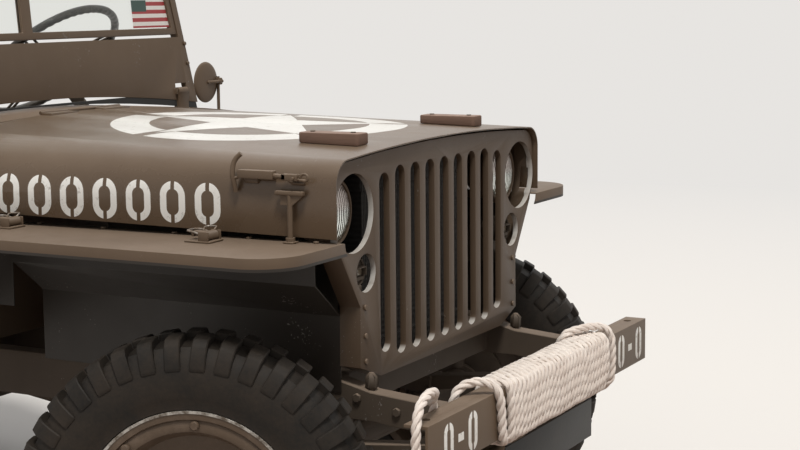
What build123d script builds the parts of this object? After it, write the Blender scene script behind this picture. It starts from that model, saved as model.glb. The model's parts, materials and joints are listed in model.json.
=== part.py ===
from build123d import *
import os
from math import sqrt, sin, cos, radians

os.makedirs("parts", exist_ok=True)

# Light open 4x4 car, in mm: +X is its left side, +Y runs to the rear, +Z is up from the ground.
# Places along Y are measured back from the front axle. save() then moves each piece so that the
# origin lies on the ground under the middle of the car.

# Wheels and running gear
wheelbase = 2032
half_track = 622
tyre_r = 361
tyre_side = 80
shoulder_x = 66
bars_per_half = 28
bar_gap = 4
bar_shoulder_r = tyre_r - 9
groove_r = tyre_r - 17
wall_sides = 24
rim_flange_r = 218
rim_seat_r = 206
rim_half = 62
drum_r = 120
kingpin_x = 560
ball_r = 50
rest_steer = 21
arm_length = 135
tie_rod_z = 332
diff_x = -205
diff_r = 139
axle_tube_r = 35
spare_x = -300
spare_z = 885

# Frame and bumpers
rail_out = 371
rail_width = 44
rail_mid_top = 575
rail_mid_low = 475
rail_kick_top = 626
frame_end = 2650
bumper_front = -505
bumper_half = 578
bumper_top = 578
bumper_height = 98
bumper_flange = 50
bumper_wall = 6
lift_hole_x = 530
lift_hole_r = 9

# Nose and hood
sheet = 3
grille_y = -251
grille_depth = 48
grille_low = 590
slot_count = 9
slot_pitch = 67.6
slot_width = 42
slot_low = 621
slot_high = 1015
headlamp_x = 395.5
headlamp_z = 936
headlamp_hole_r = 79
marker_x = 349
marker_z = 811
marker_hole_r = 39
nose_crown_r = 6000
nose_corner_r = 50
hood_front_y = -262
hood_rear_y = 733
fender_top = 886
fender_out = 703
fender_in = 465
fender_lip = 26
fender_front_y = -268
fender_bend_y = 560

# Tub
tub_half = 745
tub_wall = 4
tub_top = 985
tub_rear_y = 2654
sill_z = 560
firewall_y = 740
front_floor = 585
load_floor = 640
riser_y = 1636
arch_front_y = 1640
arch_rear_y = 2424
arch_in = 496
arch_top = 800
cowl_rear_y = 960
cowl_crown_z = 1090
cowl_crown_r = 5400
cowl_corner_r = 60
tunnel_half = 150
tunnel_top = 700

# Windscreen, hinged at its foot so that it lays forward on the hood
screen_pivot_y = 876
screen_pivot_z = 1104
screen_lean = 5.2
panel_height = 146
pane_height = 450
panel_top_z = screen_pivot_z + panel_height
screen_top_z = panel_top_z + pane_height
screen_foot_half = 676
screen_top_half = 555
screen_depth = 26
screen_rail = 24
post_half = 18

# Seats and steering wheel
seat_x = 335
seat_front_y = 1170
seat_pan_z = 727
seat_half = 210
bench_front_y = 2010
bench_half = 420
tube_r = 11
knob_r = 12
foot_rise = 17
column_angle = 48
steer_wheel_y = 1112
steer_wheel_z = 1195
steer_wheel_r = 208

# Rope wound on the bumper
rope_d = 19
rope_left = 290
rope_right = -280

# The footprint runs from the front of the rope's loops to the back of the can's tray.
can_y = tub_rear_y + 26
front_end = bumper_front - 21.4
rear_end = can_y + 176
middle_y = (front_end + rear_end) / 2


def save(name, shape):
    """Write one piece, moved to the part's own origin."""
    export_step(Pos(0, -middle_y, 0) * shape, f"parts/{name}.step")


def block(x0, x1, y0, y1, z0, z1):
    """A box between low and high corners."""
    size = Box(x1 - x0, y1 - y0, z1 - z0)
    return Pos((x0 + x1) / 2, (y0 + y1) / 2, (z0 + z1) / 2) * size


def both(shape):
    """The shape with its mirror image on the car's other side."""
    return shape + mirror(shape, Plane.YZ)


def flat_yz(points, x0, x1, corner_r=0):
    """A plate standing along the car, from its side outline (y, z)."""
    face = make_face(Polyline(*points, close=True))
    if corner_r:
        face = fillet(face.vertices(), corner_r)
    return Pos(x0, 0, 0) * extrude(Plane.YZ * face, x1 - x0)


def flat_xz(points, y0, y1, corner_r=0):
    """A plate standing across the car, from its front outline (x, z)."""
    face = make_face(Polyline(*points, close=True))
    if corner_r:
        face = fillet(face.vertices(), corner_r)
    return Pos(0, y1, 0) * extrude(Plane.XZ * face, y1 - y0)


def rod(start, end, r):
    """A round bar between two points."""
    a = Vector(*start)
    b = Vector(*end)
    return extrude(Plane(origin=a, z_dir=b - a) * Circle(r), (b - a).length)


def along_x(x0, x1, y, z, r):
    """A round bar across the car."""
    return rod((x0, y, z), (x1, y, z), r)


def bent_tube(points, bend_r, r):
    """A round tube through points, with its corners bent to one radius."""
    path = FilletPolyline(*points, radius=bend_r)
    return sweep(Plane(origin=path @ 0, z_dir=path % 0) * Circle(r), path=path)


def arch(half, low, crown_z, crown_r, corner_r, y):
    """A face across the car: upright sides, round shoulders and a crowned top."""
    shoulder_x = half - corner_r
    shoulder_z = crown_z - crown_r + sqrt((crown_r - corner_r) ** 2 - shoulder_x ** 2)
    reach = crown_r / (crown_r - corner_r)
    meet_x = shoulder_x * reach
    meet_z = crown_z - crown_r + (shoulder_z - crown_z + crown_r) * reach
    tilt = radians(45)
    corner_x = shoulder_x + corner_r * cos(tilt)
    corner_z = shoulder_z + corner_r * sin(tilt)
    right = Line((half, low), (half, shoulder_z))
    right_corner = ThreePointArc((half, shoulder_z), (corner_x, corner_z), (meet_x, meet_z))
    top = ThreePointArc((meet_x, meet_z), (0, crown_z), (-meet_x, meet_z))
    left_corner = ThreePointArc((-meet_x, meet_z), (-corner_x, corner_z), (-half, shoulder_z))
    left = Line((-half, shoulder_z), (-half, low))
    foot = Line((-half, low), (half, low))
    face = make_face(right + right_corner + top + left_corner + left + foot)
    return Pos(0, y, 0) * (Plane.XZ * face)


def spin_x(points):
    """A turned piece about the X axis, from its half profile (x, r)."""
    face = make_face(Polyline(*points, close=True))
    return revolve(face, Axis.X)


# Frame: two side rails that rise over each axle, with cross members and body pads
rail_top_line = ((-499, 558), (-378, 564), (-270, 573), (-149, 602), (0, 612), (150, 606),
                 (450, rail_mid_top), (1645, rail_mid_top), (1800, rail_kick_top),
                 (2280, rail_kick_top), (2480, 606), (frame_end, 606))
rail_low_line = ((frame_end, 522), (2480, 522), (2270, 536), (1820, 536), (1650, rail_mid_low),
                 (430, rail_mid_low), (140, 512), (-269, 514), (-333, 507), (-499, 506))
rail_in = rail_out - rail_width
frame = both(flat_yz(rail_top_line + rail_low_line, rail_in, rail_out))
# cross members: front y, rear y, low z, top z
cross_members = ((-195, -105, 520, 598), (200, 260, 480, 520), (1010, 1070, 478, 530),
                 (1560, 1620, 490, 550), (frame_end - 60, frame_end, 466, 606))
for y0, y1, z0, z1 in cross_members:
    frame += block(-rail_in, rail_in, y0, y1, z0, z1)
# body pads: front y, rail top there, floor above it
body_pads = ((800, rail_mid_top, front_floor), (1450, rail_mid_top, front_floor),
             (1850, rail_kick_top, load_floor), (2200, rail_kick_top, load_floor),
             (2560, 606, load_floor))
for y0, z0, z1 in body_pads:
    frame += both(block(rail_in, rail_out, y0, y0 + 50, z0, z1))
save("chassis_frame", frame)

# Front bumper: a channel open to the rear, with a hole near each end of its top flange
bumper_low = bumper_top - bumper_height
bumper_back = bumper_front + bumper_flange
bumper = block(-bumper_half, bumper_half, bumper_front, bumper_back, bumper_low, bumper_top)
bumper -= block(-bumper_half, bumper_half, bumper_front + bumper_wall, bumper_back,
                bumper_low + bumper_wall, bumper_top - bumper_wall)
for side in (1, -1):
    hole = Pos(side * lift_hole_x, bumper_front + bumper_flange / 2 + 4, bumper_top)
    bumper -= hole * Cylinder(lift_hole_r, 4 * bumper_wall)
save("front_bumper", bumper)

# Number plate: a bare plate on two straps under the bumper
plate_half = 233
plate_top = 455
plate_low = 368
plate = block(-plate_half, plate_half, bumper_front + 2, bumper_front + 5, plate_low, plate_top)
for side in (1, -1):
    strap_x = side * 420 / 2
    plate += block(strap_x - 12, strap_x + 12, bumper_front + 5, bumper_front + 9, plate_low + 20, 480)
save("number_plate", plate)

# Rope wound on the bumper: the body of the winding, then two loose loops near its right end
wound = block(rope_right, rope_left, bumper_front - rope_d, bumper_back + rope_d,
              bumper_low - rope_d, bumper_top + rope_d)
wound = fillet(wound.edges().filter_by(Axis.X), rope_d)
wound -= block(rope_right, rope_left, bumper_front - 0.3, bumper_back + 0.3,
               bumper_low - 0.3, bumper_top + 0.3)
wound -= plate

rope_r = rope_d / 2
loop_out = rope_r + 0.4
loop_y0 = bumper_front - loop_out
loop_y1 = bumper_back + loop_out
loop_z0 = bumper_low - loop_out
loop_z1 = bumper_top + loop_out
cross_loop = ((-300, loop_y0 - 2, loop_z0), (-322, loop_y0, loop_z1 - 6), (-352, -478, loop_z1 + 16),
              (-392, loop_y1 + 6, loop_z1 - 4), (-388, loop_y1 + 2, 500))
end_loop = ((-420, loop_y1, 500), (-446, loop_y1, loop_z1 + 2), (-496, -480, loop_z1 + 34),
            (-556, -488, loop_z1 + 42), (-604, -494, 560), (-596, -488, 462))
loops = bent_tube(cross_loop, 18, rope_r) + bent_tube(end_loop, 18, rope_r)
save("bumper_rope", wound + (loops - bumper))

# Leaf springs: a stepped pack on each side, with an eye at one end and a shackle at the other
spring_x0 = rail_in
spring_x1 = rail_out
spring_seat = tyre_r + axle_tube_r


def leaf_pack(axle_y, pivot_y, shackle_y, eye_z, top_z):
    """One spring pack: four leaves that shorten downwards, its pivot and its shackle."""
    drop = eye_z - 4 - spring_seat - 32
    outline = [(pivot_y, eye_z + 4), (axle_y, spring_seat + 40), (shackle_y, eye_z + 4)]
    for end_y in (shackle_y, pivot_y):
        steps = []
        for layer in range(4):
            share = 1 - 0.19 * layer
            next_share = 1 - 0.19 * (layer + 1)
            low = spring_seat + 32 - 8 * layer
            steps.append((axle_y + (end_y - axle_y) * share, low + drop * share))
            steps.append((axle_y + (end_y - axle_y) * next_share, low + drop * next_share))
        steps.append((axle_y, spring_seat))
        outline += steps if end_y == shackle_y else steps[-2::-1]
    pack = flat_yz(outline, spring_x0, spring_x1)
    for end_y in (pivot_y, shackle_y):
        pack += along_x(spring_x0 - 2, spring_x1 + 2, end_y, eye_z, 16)
        pack += block(spring_x0 + 6, spring_x1 - 6, end_y - 10, end_y + 10, eye_z, top_z)
    return pack


def spring_clamps(axle_y):
    """The U bolts round the axle tube and the plate under it."""
    clamp = block(spring_x0 - 10, spring_x1 + 10, axle_y - 55, axle_y + 55,
                  tyre_r - axle_tube_r - 12, tyre_r - axle_tube_r + 1)
    for step in (-44, 44):
        for x in (spring_x0 - 3, spring_x1 + 3):
            clamp += rod((x, axle_y + step, tyre_r - axle_tube_r - 6), (x, axle_y + step, spring_seat + 38), 5)
    clamp += block(spring_x0 - 10, spring_x1 + 10, axle_y - 50, axle_y + 50,
                   spring_seat + 34, spring_seat + 46)
    return clamp


front_springs = both(leaf_pack(0, 440, -420, 478, 507) + spring_clamps(0))
rear_springs = both(leaf_pack(wheelbase, wheelbase - 500, wheelbase + 520, 462, 522)
                    + spring_clamps(wheelbase))
front_springs -= frame
rear_springs -= frame

# Axles: a tube with the differential to the right; the front one ends in steering balls
def axle_case(nose_to_y, tube_half):
    """The tube, the round differential case and its pinion nose."""
    case = along_x(-tube_half, tube_half, 0, tyre_r, axle_tube_r)
    bowl = rod((diff_x, -82, tyre_r), (diff_x, 70, tyre_r), diff_r)
    bowl = fillet(bowl.edges(), 38)
    nose = rod((diff_x, 0, tyre_r), (diff_x, nose_to_y, tyre_r + 12), 48)
    return case + bowl + nose


front_axle = axle_case(170, kingpin_x - 20)
for side in (1, -1):
    front_axle += Pos(side * kingpin_x, 0, tyre_r) * Sphere(ball_r - 0.3)
front_axle = front_axle - front_springs
save("front_axle", front_axle)

plate_x = half_track - 38
spindle_end = half_track + 58
rear_axle = Pos(0, wheelbase, 0) * mirror(axle_case(170, plate_x), Plane.XZ)
for side in (1, -1):
    rear_axle += along_x(side * plate_x, side * (plate_x + 4), wheelbase, tyre_r, drum_r + 4)
    rear_axle += along_x(side * plate_x, side * spindle_end, wheelbase, tyre_r, 18)
rear_axle = rear_axle - rear_springs
save("rear_axle", rear_axle)
save("leaf_springs", front_springs + rear_springs)


def steered(shape, side):
    """Turn a straight-ahead piece about its kingpin to the rest steering angle."""
    return Pos(side * kingpin_x, 0, 0) * Rot(0, 0, rest_steer) * Pos(-side * kingpin_x, 0, 0) * shape


# Knuckles: a cup over the ball, kingpin bosses, backing plate, spindle and steering arm
for name, side in (("knuckle_left", 1), ("knuckle_right", -1)):
    centre = Pos(side * kingpin_x, 0, tyre_r)
    cup_edge = side * (kingpin_x - 12)
    cup_end = side * (kingpin_x + 80)
    cup_room = block(min(cup_edge, cup_end), max(cup_edge, cup_end), -90, 90, tyre_r - 90, tyre_r + 90)
    knuckle = (centre * Sphere(ball_r + 12)) & cup_room
    for boss_z in (tyre_r - 84, tyre_r + 54):
        knuckle += rod((side * kingpin_x, 0, boss_z), (side * kingpin_x, 0, boss_z + 30), 22)
    knuckle += along_x(side * plate_x, side * (plate_x + 4), 0, tyre_r, drum_r + 4)
    knuckle -= centre * Sphere(ball_r)
    knuckle += along_x(side * (kingpin_x + ball_r + 4), side * spindle_end, 0, tyre_r, 18)
    arm_x = side * kingpin_x
    knuckle += block(arm_x - 15, arm_x + 15, -arm_length, 0, tyre_r - 84, tyre_r - 72)
    knuckle += rod((arm_x, -arm_length, tyre_r - 84), (arm_x, -arm_length, tie_rod_z - 14), 17)
    knuckle += rod((arm_x, -arm_length, tie_rod_z - 14), (arm_x, -arm_length, tie_rod_z + 16), 9)
    save(name, steered(knuckle, side))

# Tie rod: joins both steering arms and stays square to the car
pin_x = arm_length * sin(radians(rest_steer))
pin_y = -arm_length * cos(radians(rest_steer))
tie_rod = along_x(-kingpin_x + pin_x, kingpin_x + pin_x, pin_y, tie_rod_z, 12)
for side in (1, -1):
    eye = Pos(side * kingpin_x + pin_x, pin_y, tie_rod_z)
    tie_rod += eye * Cylinder(18, 27)
for side in (1, -1):
    eye = Pos(side * kingpin_x + pin_x, pin_y, tie_rod_z)
    tie_rod -= eye * Cylinder(9.3, 40)
save("tie_rod", tie_rod)

# Wheels: bolted two-piece rims with drum and hub, and tyres out to their lug tips
rim_profile = ((-rim_half - 2, rim_flange_r), (-rim_half + 2, rim_flange_r), (-rim_half + 4, rim_seat_r),
               (-30, rim_seat_r - 6), (30, rim_seat_r - 6), (rim_half - 4, rim_seat_r),
               (rim_half - 2, rim_flange_r), (rim_half + 2, rim_flange_r), (rim_half, rim_seat_r - 5),
               (30, rim_seat_r - 10), (-30, rim_seat_r - 10), (-rim_half, rim_seat_r - 5))
disc_profile = ((14, rim_seat_r - 9), (20, rim_seat_r - 9), (24, 160), (12, 110), (12, 44), (6, 44), (6, 112),
                (18, 160))
drum_profile = ((6, 34), (6, drum_r), (-33, drum_r), (-33, drum_r - 8), (-2, drum_r - 8), (-2, 34))
hub_profile = ((-2, 18.3), (-2, 44), (44, 44), (48, 36), (62, 36), (62, 0), (59, 0), (59, 18.3))
rim_ring = spin_x(rim_profile)
wheel_disc = spin_x(disc_profile)
drum_and_hub = spin_x(drum_profile) + spin_x(hub_profile)


def outline(places):
    """A closed outline on the tyre, from places along, out from and round its axle."""
    corners = [Vector(x, r * cos(radians(turn)), r * sin(radians(turn))) for x, r, turn in places]
    return Wire.make_polygon(corners, close=True)


def facet(x0, r0, x1, r1, turn, step):
    """One flat face between two circles of the tyre."""
    return Face(outline([(x0, r0, turn), (x0, r0, turn + step), (x1, r1, turn + step), (x1, r1, turn)]))


# a bar on one half of the tread stands beside a groove on the other half
bar_step = 180 / bars_per_half
wall_step = 360 / wall_sides
edge_x = rim_half + 3
edge_r = (rim_flange_r + 0.3) / cos(radians(wall_step / 2))
wall_line = ((shoulder_x, groove_r - 4), (tyre_side, (rim_flange_r + tyre_r) / 2), (edge_x, edge_r))
tyre_faces = []
for side in (1, -1):
    inner = side * bar_gap
    outer = side * shoulder_x
    shoulder = []
    for number in range(2 * bars_per_half):
        turn = number * bar_step
        is_bar = (number % 2 == 0) == (side == 1)
        if is_bar:
            tyre_faces.append(facet(inner, tyre_r, outer, bar_shoulder_r, turn, bar_step))
            tyre_faces.append(facet(inner, groove_r, inner, tyre_r, turn, bar_step))
        else:
            groove = [(x, groove_r, turn) for x in (-inner, inner, outer)]
            groove += [(x, groove_r, turn + bar_step) for x in (outer, inner, -inner)]
            tyre_faces.append(Face(outline(groove)))
        flank = ((inner, groove_r), (inner, tyre_r), (outer, bar_shoulder_r), (outer, groove_r))
        tyre_faces.append(Face(outline([(x, r, turn) for x, r in flank])))
        shoulder_r = bar_shoulder_r if is_bar else groove_r
        shoulder += [(outer, shoulder_r, turn), (outer, shoulder_r, turn + bar_step)]
    wall_top = [(outer, wall_line[0][1], number * wall_step) for number in range(wall_sides)]
    tyre_faces.append(Face(outline(shoulder), [outline(wall_top)]))
    for (x0, r0), (x1, r1) in zip(wall_line, wall_line[1:]):
        for number in range(wall_sides):
            tyre_faces.append(facet(side * x0, r0, side * x1, r1, number * wall_step, wall_step))
for number in range(wall_sides):
    tyre_faces.append(facet(-edge_x, edge_r, edge_x, edge_r, number * wall_step, wall_step))
tyre = Solid(Shell(tyre_faces))
road_rim = rim_ring + wheel_disc + drum_and_hub

# name, side, place along the car, steered or not
road_wheels = (("front_left", 1, 0, True), ("front_right", -1, 0, True),
               ("rear_left", 1, wheelbase, False), ("rear_right", -1, wheelbase, False))
for name, side, y, turns in road_wheels:
    place = Pos(side * half_track, y, tyre_r) * Rot(0, 0, 90 - 90 * side)
    pieces = (("rim", place * road_rim), ("tyre", place * tyre))
    for kind, piece in pieces:
        save(f"{kind}_{name}", steered(piece, side) if turns else piece)

# Spare wheel on the rear panel, outer face to the rear
spare_y = tub_rear_y + 104
spare_place = Pos(spare_x, spare_y, spare_z) * Rot(0, 0, 90)
save("rim_spare", spare_place * (rim_ring + wheel_disc))
save("tyre_spare", spare_place * tyre)

# Grille: a pressed panel with flanges to the rear, nine slots and the lamp openings
grille_half = 474
grille_crown = 1055


def grille_solid(inset, y0, y1):
    """The panel's outline, drawn in by a wall, between two planes."""
    top = extrude(arch(grille_half - inset, grille_low + inset, grille_crown - inset, nose_crown_r,
                       nose_corner_r - inset, y1), y1 - y0)
    half = 290 - inset
    low = grille_low + inset
    sides = ((-half, low), (half, low), (376 - inset, 622 + inset / 2), (374 - inset, 745), (458 - inset, 872),
             (grille_half - inset, 940), (grille_half - inset, 1080), (-grille_half + inset, 1080),
             (-grille_half + inset, 940),
             (-458 + inset, 872), (-374 + inset, 745), (-376 + inset, 622 + inset / 2))
    return top & flat_xz(sides, y0, y1)


grille_back = grille_y + grille_depth
grille = grille_solid(0, grille_y, grille_back) - grille_solid(sheet, grille_y + sheet, grille_back)
slot_centres = [slot_pitch * (i - (slot_count - 1) / 2) for i in range(slot_count)]
for x in slot_centres:
    outer = abs(x) > slot_pitch * 3.5
    low = slot_low + (15 if outer else 0)
    high = slot_high - (10 if outer else 0)
    place = Pos(x, grille_y, (low + high) / 2) * Rot(90, 0, 0)
    lip = place * extrude(SlotOverall(high - low + 2 * sheet, slot_width + 2 * sheet, rotation=90), -14)
    hole = place * extrude(SlotOverall(high - low, slot_width, rotation=90), -60)
    ahead = place * extrude(SlotOverall(high - low, slot_width, rotation=90), 10)
    grille = grille + lip - hole - ahead
# lamp openings: half spacing, height, radius
lamp_holes = ((headlamp_x, headlamp_z, headlamp_hole_r), (marker_x, marker_z, marker_hole_r))
for x, z, r in lamp_holes:
    for side in (1, -1):
        lip = rod((side * x, grille_y, z), (side * x, grille_y + 12, z), r + sheet)
        hole = rod((side * x, grille_y - 5, z), (side * x, grille_y + 30, z), r)
        grille = grille + lip - hole
save("grille", grille)

# Radiator: core with top and bottom tanks behind the grille, on the front cross member
radiator = block(-240, 240, -180, -120, 640, 960)
radiator += block(-250, 250, -186, -114, 598, 640)
radiator += block(-250, 250, -186, -114, 960, 1000)
radiator += rod((0, -150, 1000), (0, -150, 1022), 28)
save("radiator", radiator)

# Lamps: headlamp bowls on straps from the grille's top, small marker lamps under them
strap_top = grille_crown - headlamp_x ** 2 / (2 * nose_crown_r) - sheet
lamps = []
for side in (1, -1):
    lamp_x = side * headlamp_x
    lamp = rod((lamp_x, grille_y + 44, headlamp_z), (lamp_x, grille_y + 60, headlamp_z), 71)
    bowl = rod((lamp_x, grille_y + 60, headlamp_z), (lamp_x, grille_y + 130, headlamp_z), 67)
    bowl = fillet(bowl.edges().sort_by(Axis.Y)[-1:], 45)
    strap = block(lamp_x - 15, lamp_x + 15, grille_back, grille_back + 4, headlamp_z + 60, strap_top)
    lens_front = grille_y + 44
    lens = Pos(lamp_x, lens_front + 230, headlamp_z) * Sphere(240)
    lens &= rod((lamp_x, lens_front - 12, headlamp_z), (lamp_x, lens_front, headlamp_z), 65)
    lamps.append(lamp + bowl + strap + lens)
marker_lamps = both(rod((marker_x, grille_y + 12, marker_z), (marker_x, grille_y + 58, marker_z), 34)
                    + rod((marker_x, grille_y + 12, marker_z), (marker_x, grille_y + 15, marker_z),
                          marker_hole_r + sheet))
save("front_lamps", lamps[0] + lamps[1] + marker_lamps)

# Hood: a crowned sheet between the grille and the cowl, deeper at the shoulders to the rear
# place along the car, half width, low edge, crown height, crown radius, shoulder radius
hood_front = (hood_front_y, 482, 895, 1063, nose_crown_r, nose_corner_r)
hood_rear = (hood_rear_y, 520, 912, 1092, 4200, 130)


def hood_loft(inset):
    """The hood's envelope between its two ends, drawn in by the sheet."""
    faces = []
    for y, half, low, crown, crown_r, corner_r in (hood_front, hood_rear):
        drop = 10 if inset > 0 else 0
        faces.append(arch(half - inset, low - drop, crown - inset, crown_r - inset, corner_r - inset, y))
    return loft(faces)


hood_envelope = hood_loft(0)
hood = hood_envelope - hood_loft(sheet)
# hinge along the rear edge: one knuckle on the cowl between two on the hood
hinge_y = (hood_rear_y + firewall_y) / 2 + 1
hinge_z = cowl_crown_z + 4.2
hinge_r = 4
hinge_mid = 50
hinge_end = 150
leaf = block(hinge_mid + 0.3, hinge_end, hinge_y - 34, hinge_y, hinge_z - 12, hinge_z)
leaf += along_x(hinge_mid + 0.3, hinge_end, hinge_y, hinge_z, hinge_r)
hood += both(leaf - hood_envelope)
save("hood", hood)


def hood_z(x, y):
    """Height of the hood's top at a place."""
    share = (y - hood_front_y) / (hood_rear_y - hood_front_y)
    crown = hood_front[3] + (hood_rear[3] - hood_front[3]) * share
    crown_r = hood_front[4] + (hood_rear[4] - hood_front[4]) * share
    return crown - x * x / (2 * crown_r)


# Hood blocks: two wooden bearers for the folded windscreen, bedded on the crown
wood_x = 270
wood_rise = 23
wood_front_y = -204
wood_rear_y = -62
blocks = block(wood_x - 24, wood_x + 24, wood_front_y, wood_rear_y, 1030,
               hood_z(wood_x, (wood_front_y + wood_rear_y) / 2) + wood_rise)
blocks = fillet(blocks.edges().filter_by(Axis.Z), 8)
blocks = both(blocks) - hood_loft(-0.3)
save("hood_blocks", blocks)

# Cowl: fire wall, crowned top and the fixing for the windscreen
arch_low = 978
cowl = extrude(arch(tub_half, arch_low, cowl_crown_z, cowl_crown_r, cowl_corner_r, cowl_rear_y),
               cowl_rear_y - firewall_y)
cowl -= extrude(arch(tub_half - tub_wall, arch_low - 20, cowl_crown_z - tub_wall, cowl_crown_r - tub_wall,
                     cowl_corner_r - tub_wall, cowl_rear_y), cowl_rear_y - firewall_y)
wall = extrude(arch(tub_half - tub_wall, front_floor, cowl_crown_z - tub_wall, cowl_crown_r - tub_wall,
                    cowl_corner_r - tub_wall, firewall_y + sheet), sheet)
wall -= block(-tunnel_half, tunnel_half, firewall_y - 5, firewall_y + 10, front_floor - 5, tunnel_top)
column_dir = (0, -cos(radians(column_angle)), -sin(radians(column_angle)))


def column_point(back):
    """A point down the steering column from the wheel's hub."""
    return (seat_x, steer_wheel_y + column_dir[1] * back, steer_wheel_z + column_dir[2] * back)


wall -= rod(column_point(400), column_point(760), 26)
leaf = block(-hinge_mid, hinge_mid, hinge_y, hinge_y + 34, cowl_crown_z - 3, hinge_z)
leaf += along_x(-hinge_mid, hinge_mid, hinge_y, hinge_z, hinge_r)
cowl += wall + leaf

# Dash: the instrument panel under the cowl's rear edge
dash = extrude(arch(tub_half - tub_wall, 930, cowl_crown_z - tub_wall, cowl_crown_r - tub_wall,
                    cowl_corner_r - tub_wall, cowl_rear_y), 4)
dash += block(-tub_half + tub_wall, tub_half - tub_wall, cowl_rear_y - 26, cowl_rear_y, 926, 930)
dash -= rod(column_point(0), column_point(300), 24)
save("dash_panel", dash)

# Tub floor: front floor with the gearbox tunnel, riser and raised load floor
floor_half = tub_half - tub_wall
floor = block(-floor_half, floor_half, firewall_y + sheet, riser_y, front_floor, front_floor + tub_wall)
floor += block(-floor_half, floor_half, riser_y, riser_y + tub_wall, front_floor, load_floor + tub_wall)
floor += block(-floor_half, floor_half, riser_y, tub_rear_y - tub_wall, load_floor, load_floor + tub_wall)
tunnel_end = 1060
floor -= block(-tunnel_half, tunnel_half, firewall_y, tunnel_end, front_floor, front_floor + tub_wall)
floor += (block(-tunnel_half, tunnel_half, firewall_y + sheet, tunnel_end, front_floor, tunnel_top)
          - block(-tunnel_half + tub_wall, tunnel_half - tub_wall, firewall_y, tunnel_end - tub_wall,
                  front_floor, tunnel_top - tub_wall))
floor -= both(block(arch_in, floor_half, arch_front_y, arch_rear_y, load_floor - 60, load_floor + 10))
# pivots under the front feet of the seats that fold: place across, half length, place along, floor there
for x, half, y, z in ((-seat_x, seat_half, seat_front_y, front_floor + tub_wall),
                      (0, bench_half, bench_front_y, load_floor + tub_wall)):
    reach = half - tube_r - knob_r - 0.3
    floor += along_x(x - reach, x + reach, y, z + foot_rise, 8)
    for step in (-reach + 30, reach - 30):
        floor += block(x + step - 12, x + step + 12, y - 8, y + 8, z, z + foot_rise)
save("tub_floor", floor)

# Tub sides: one panel each with the step-in cut-out and the rear wheel's opening
side_outline = ((firewall_y, sill_z), (1640, sill_z), (1668, 700), (1760, 796), (2304, 796), (2396, 700),
                (2424, sill_z), (tub_rear_y, 600), (tub_rear_y, tub_top), (1640, tub_top), (1560, 940),
                (1530, 700), (1050, 700), (1010, 930), (cowl_rear_y, arch_low), (firewall_y, arch_low))
tub_side = make_face(Polyline(*side_outline, close=True))
cut_corners = [v for v in tub_side.vertices() if 1000 < v.X < 1700 and v.Y > 650 and v.Y < 980]
tub_side = fillet(cut_corners, 55)
arch_corners = [v for v in tub_side.vertices() if (abs(v.X - 1760) < 2 or abs(v.X - 2304) < 2) and v.Y < 800]
tub_side = fillet(arch_corners, 60)
side_plate = extrude(Plane.YZ * tub_side, tub_wall)
tub_sides = both(Pos(tub_half - tub_wall, 0, 0) * side_plate)

# Wheel houses with the tool boxes behind them
houses = []
for side in (1, -1):
    low_x = min(side * arch_in, side * floor_half)
    high_x = max(side * arch_in, side * floor_half)
    house = block(low_x, high_x, arch_front_y, arch_rear_y, load_floor - 10, arch_top)
    inner = arch_in + tub_wall
    beyond = tub_half + tub_wall
    house -= block(min(side * inner, side * beyond), max(side * inner, side * beyond), arch_front_y + tub_wall,
                   arch_rear_y - tub_wall, load_floor - 20, arch_top - tub_wall)
    box = block(low_x, high_x, arch_rear_y, tub_rear_y - tub_wall, load_floor + tub_wall, arch_top)
    box -= block(low_x + tub_wall, high_x - tub_wall, arch_rear_y, tub_rear_y - 2 * tub_wall,
                 load_floor + 2 * tub_wall, arch_top + 5)
    houses.append(house + box)
save("wheel_houses", houses[0] + houses[1])

# Tool box lids, hinged at their front edge
lid_y0 = arch_rear_y + 10
lid_y1 = tub_rear_y - tub_wall - 6
for name, side in (("tool_lid_left", 1), ("tool_lid_right", -1)):
    low_x = min(side * (arch_in + 2), side * (floor_half - 6))
    high_x = max(side * (arch_in + 2), side * (floor_half - 6))
    lid = block(low_x, high_x, lid_y0, lid_y1, arch_top + 0.3, arch_top + 4)
    lid += along_x(low_x, high_x, lid_y0, arch_top + 5, 4.5)
    save(name, lid)

# Rear panel
save("rear_panel", block(-floor_half, floor_half, tub_rear_y - tub_wall, tub_rear_y, 606, tub_top))

# Fenders: flat top with a rolled edge, sloping down at the rear to the tub, and an inner apron
slope_end_y = 700
slope_end_z = 600
nose_in = 440
plan = ((nose_in, fender_front_y), (fender_out, fender_front_y), (fender_out, fender_bend_y),
        (fender_in, fender_bend_y), (fender_in, grille_back), (nose_in, grille_back))
plan_in = ((nose_in - 1, fender_front_y + sheet), (fender_out - sheet, fender_front_y + sheet),
           (fender_out - sheet, fender_bend_y + 1), (fender_in - 1, fender_bend_y + 1),
           (fender_in - 1, grille_back), (nose_in - 1, grille_back))
shapes = []
for points, low, high, corner_r in ((plan, fender_top - fender_lip, fender_top, 95),
                                    (plan_in, fender_top - fender_lip - 1, fender_top - sheet, 92)):
    face = make_face(Polyline(*points, close=True))
    corner = face.vertices().sort_by(lambda v: v.X - v.Y)[-1:]
    face = fillet(corner, corner_r)
    shapes.append(Pos(0, 0, low) * extrude(face, high - low))
fender = shapes[0] - shapes[1] - grille_solid(0, fender_front_y - 20, grille_back)
slope = ((fender_bend_y, fender_top), (slope_end_y, slope_end_z), (firewall_y, slope_end_z),
         (firewall_y, slope_end_z - sheet), (slope_end_y - 2, slope_end_z - sheet),
         (fender_bend_y - 2, fender_top - sheet))
fender += flat_yz(slope, fender_in, fender_out)
edge = ((fender_bend_y, fender_top), (slope_end_y, slope_end_z), (firewall_y, slope_end_z),
        (firewall_y, slope_end_z - fender_lip), (slope_end_y - 12, slope_end_z - fender_lip),
        (fender_bend_y - 12, fender_top - fender_lip))
fender += flat_yz(edge, fender_out - sheet, fender_out)
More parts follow.
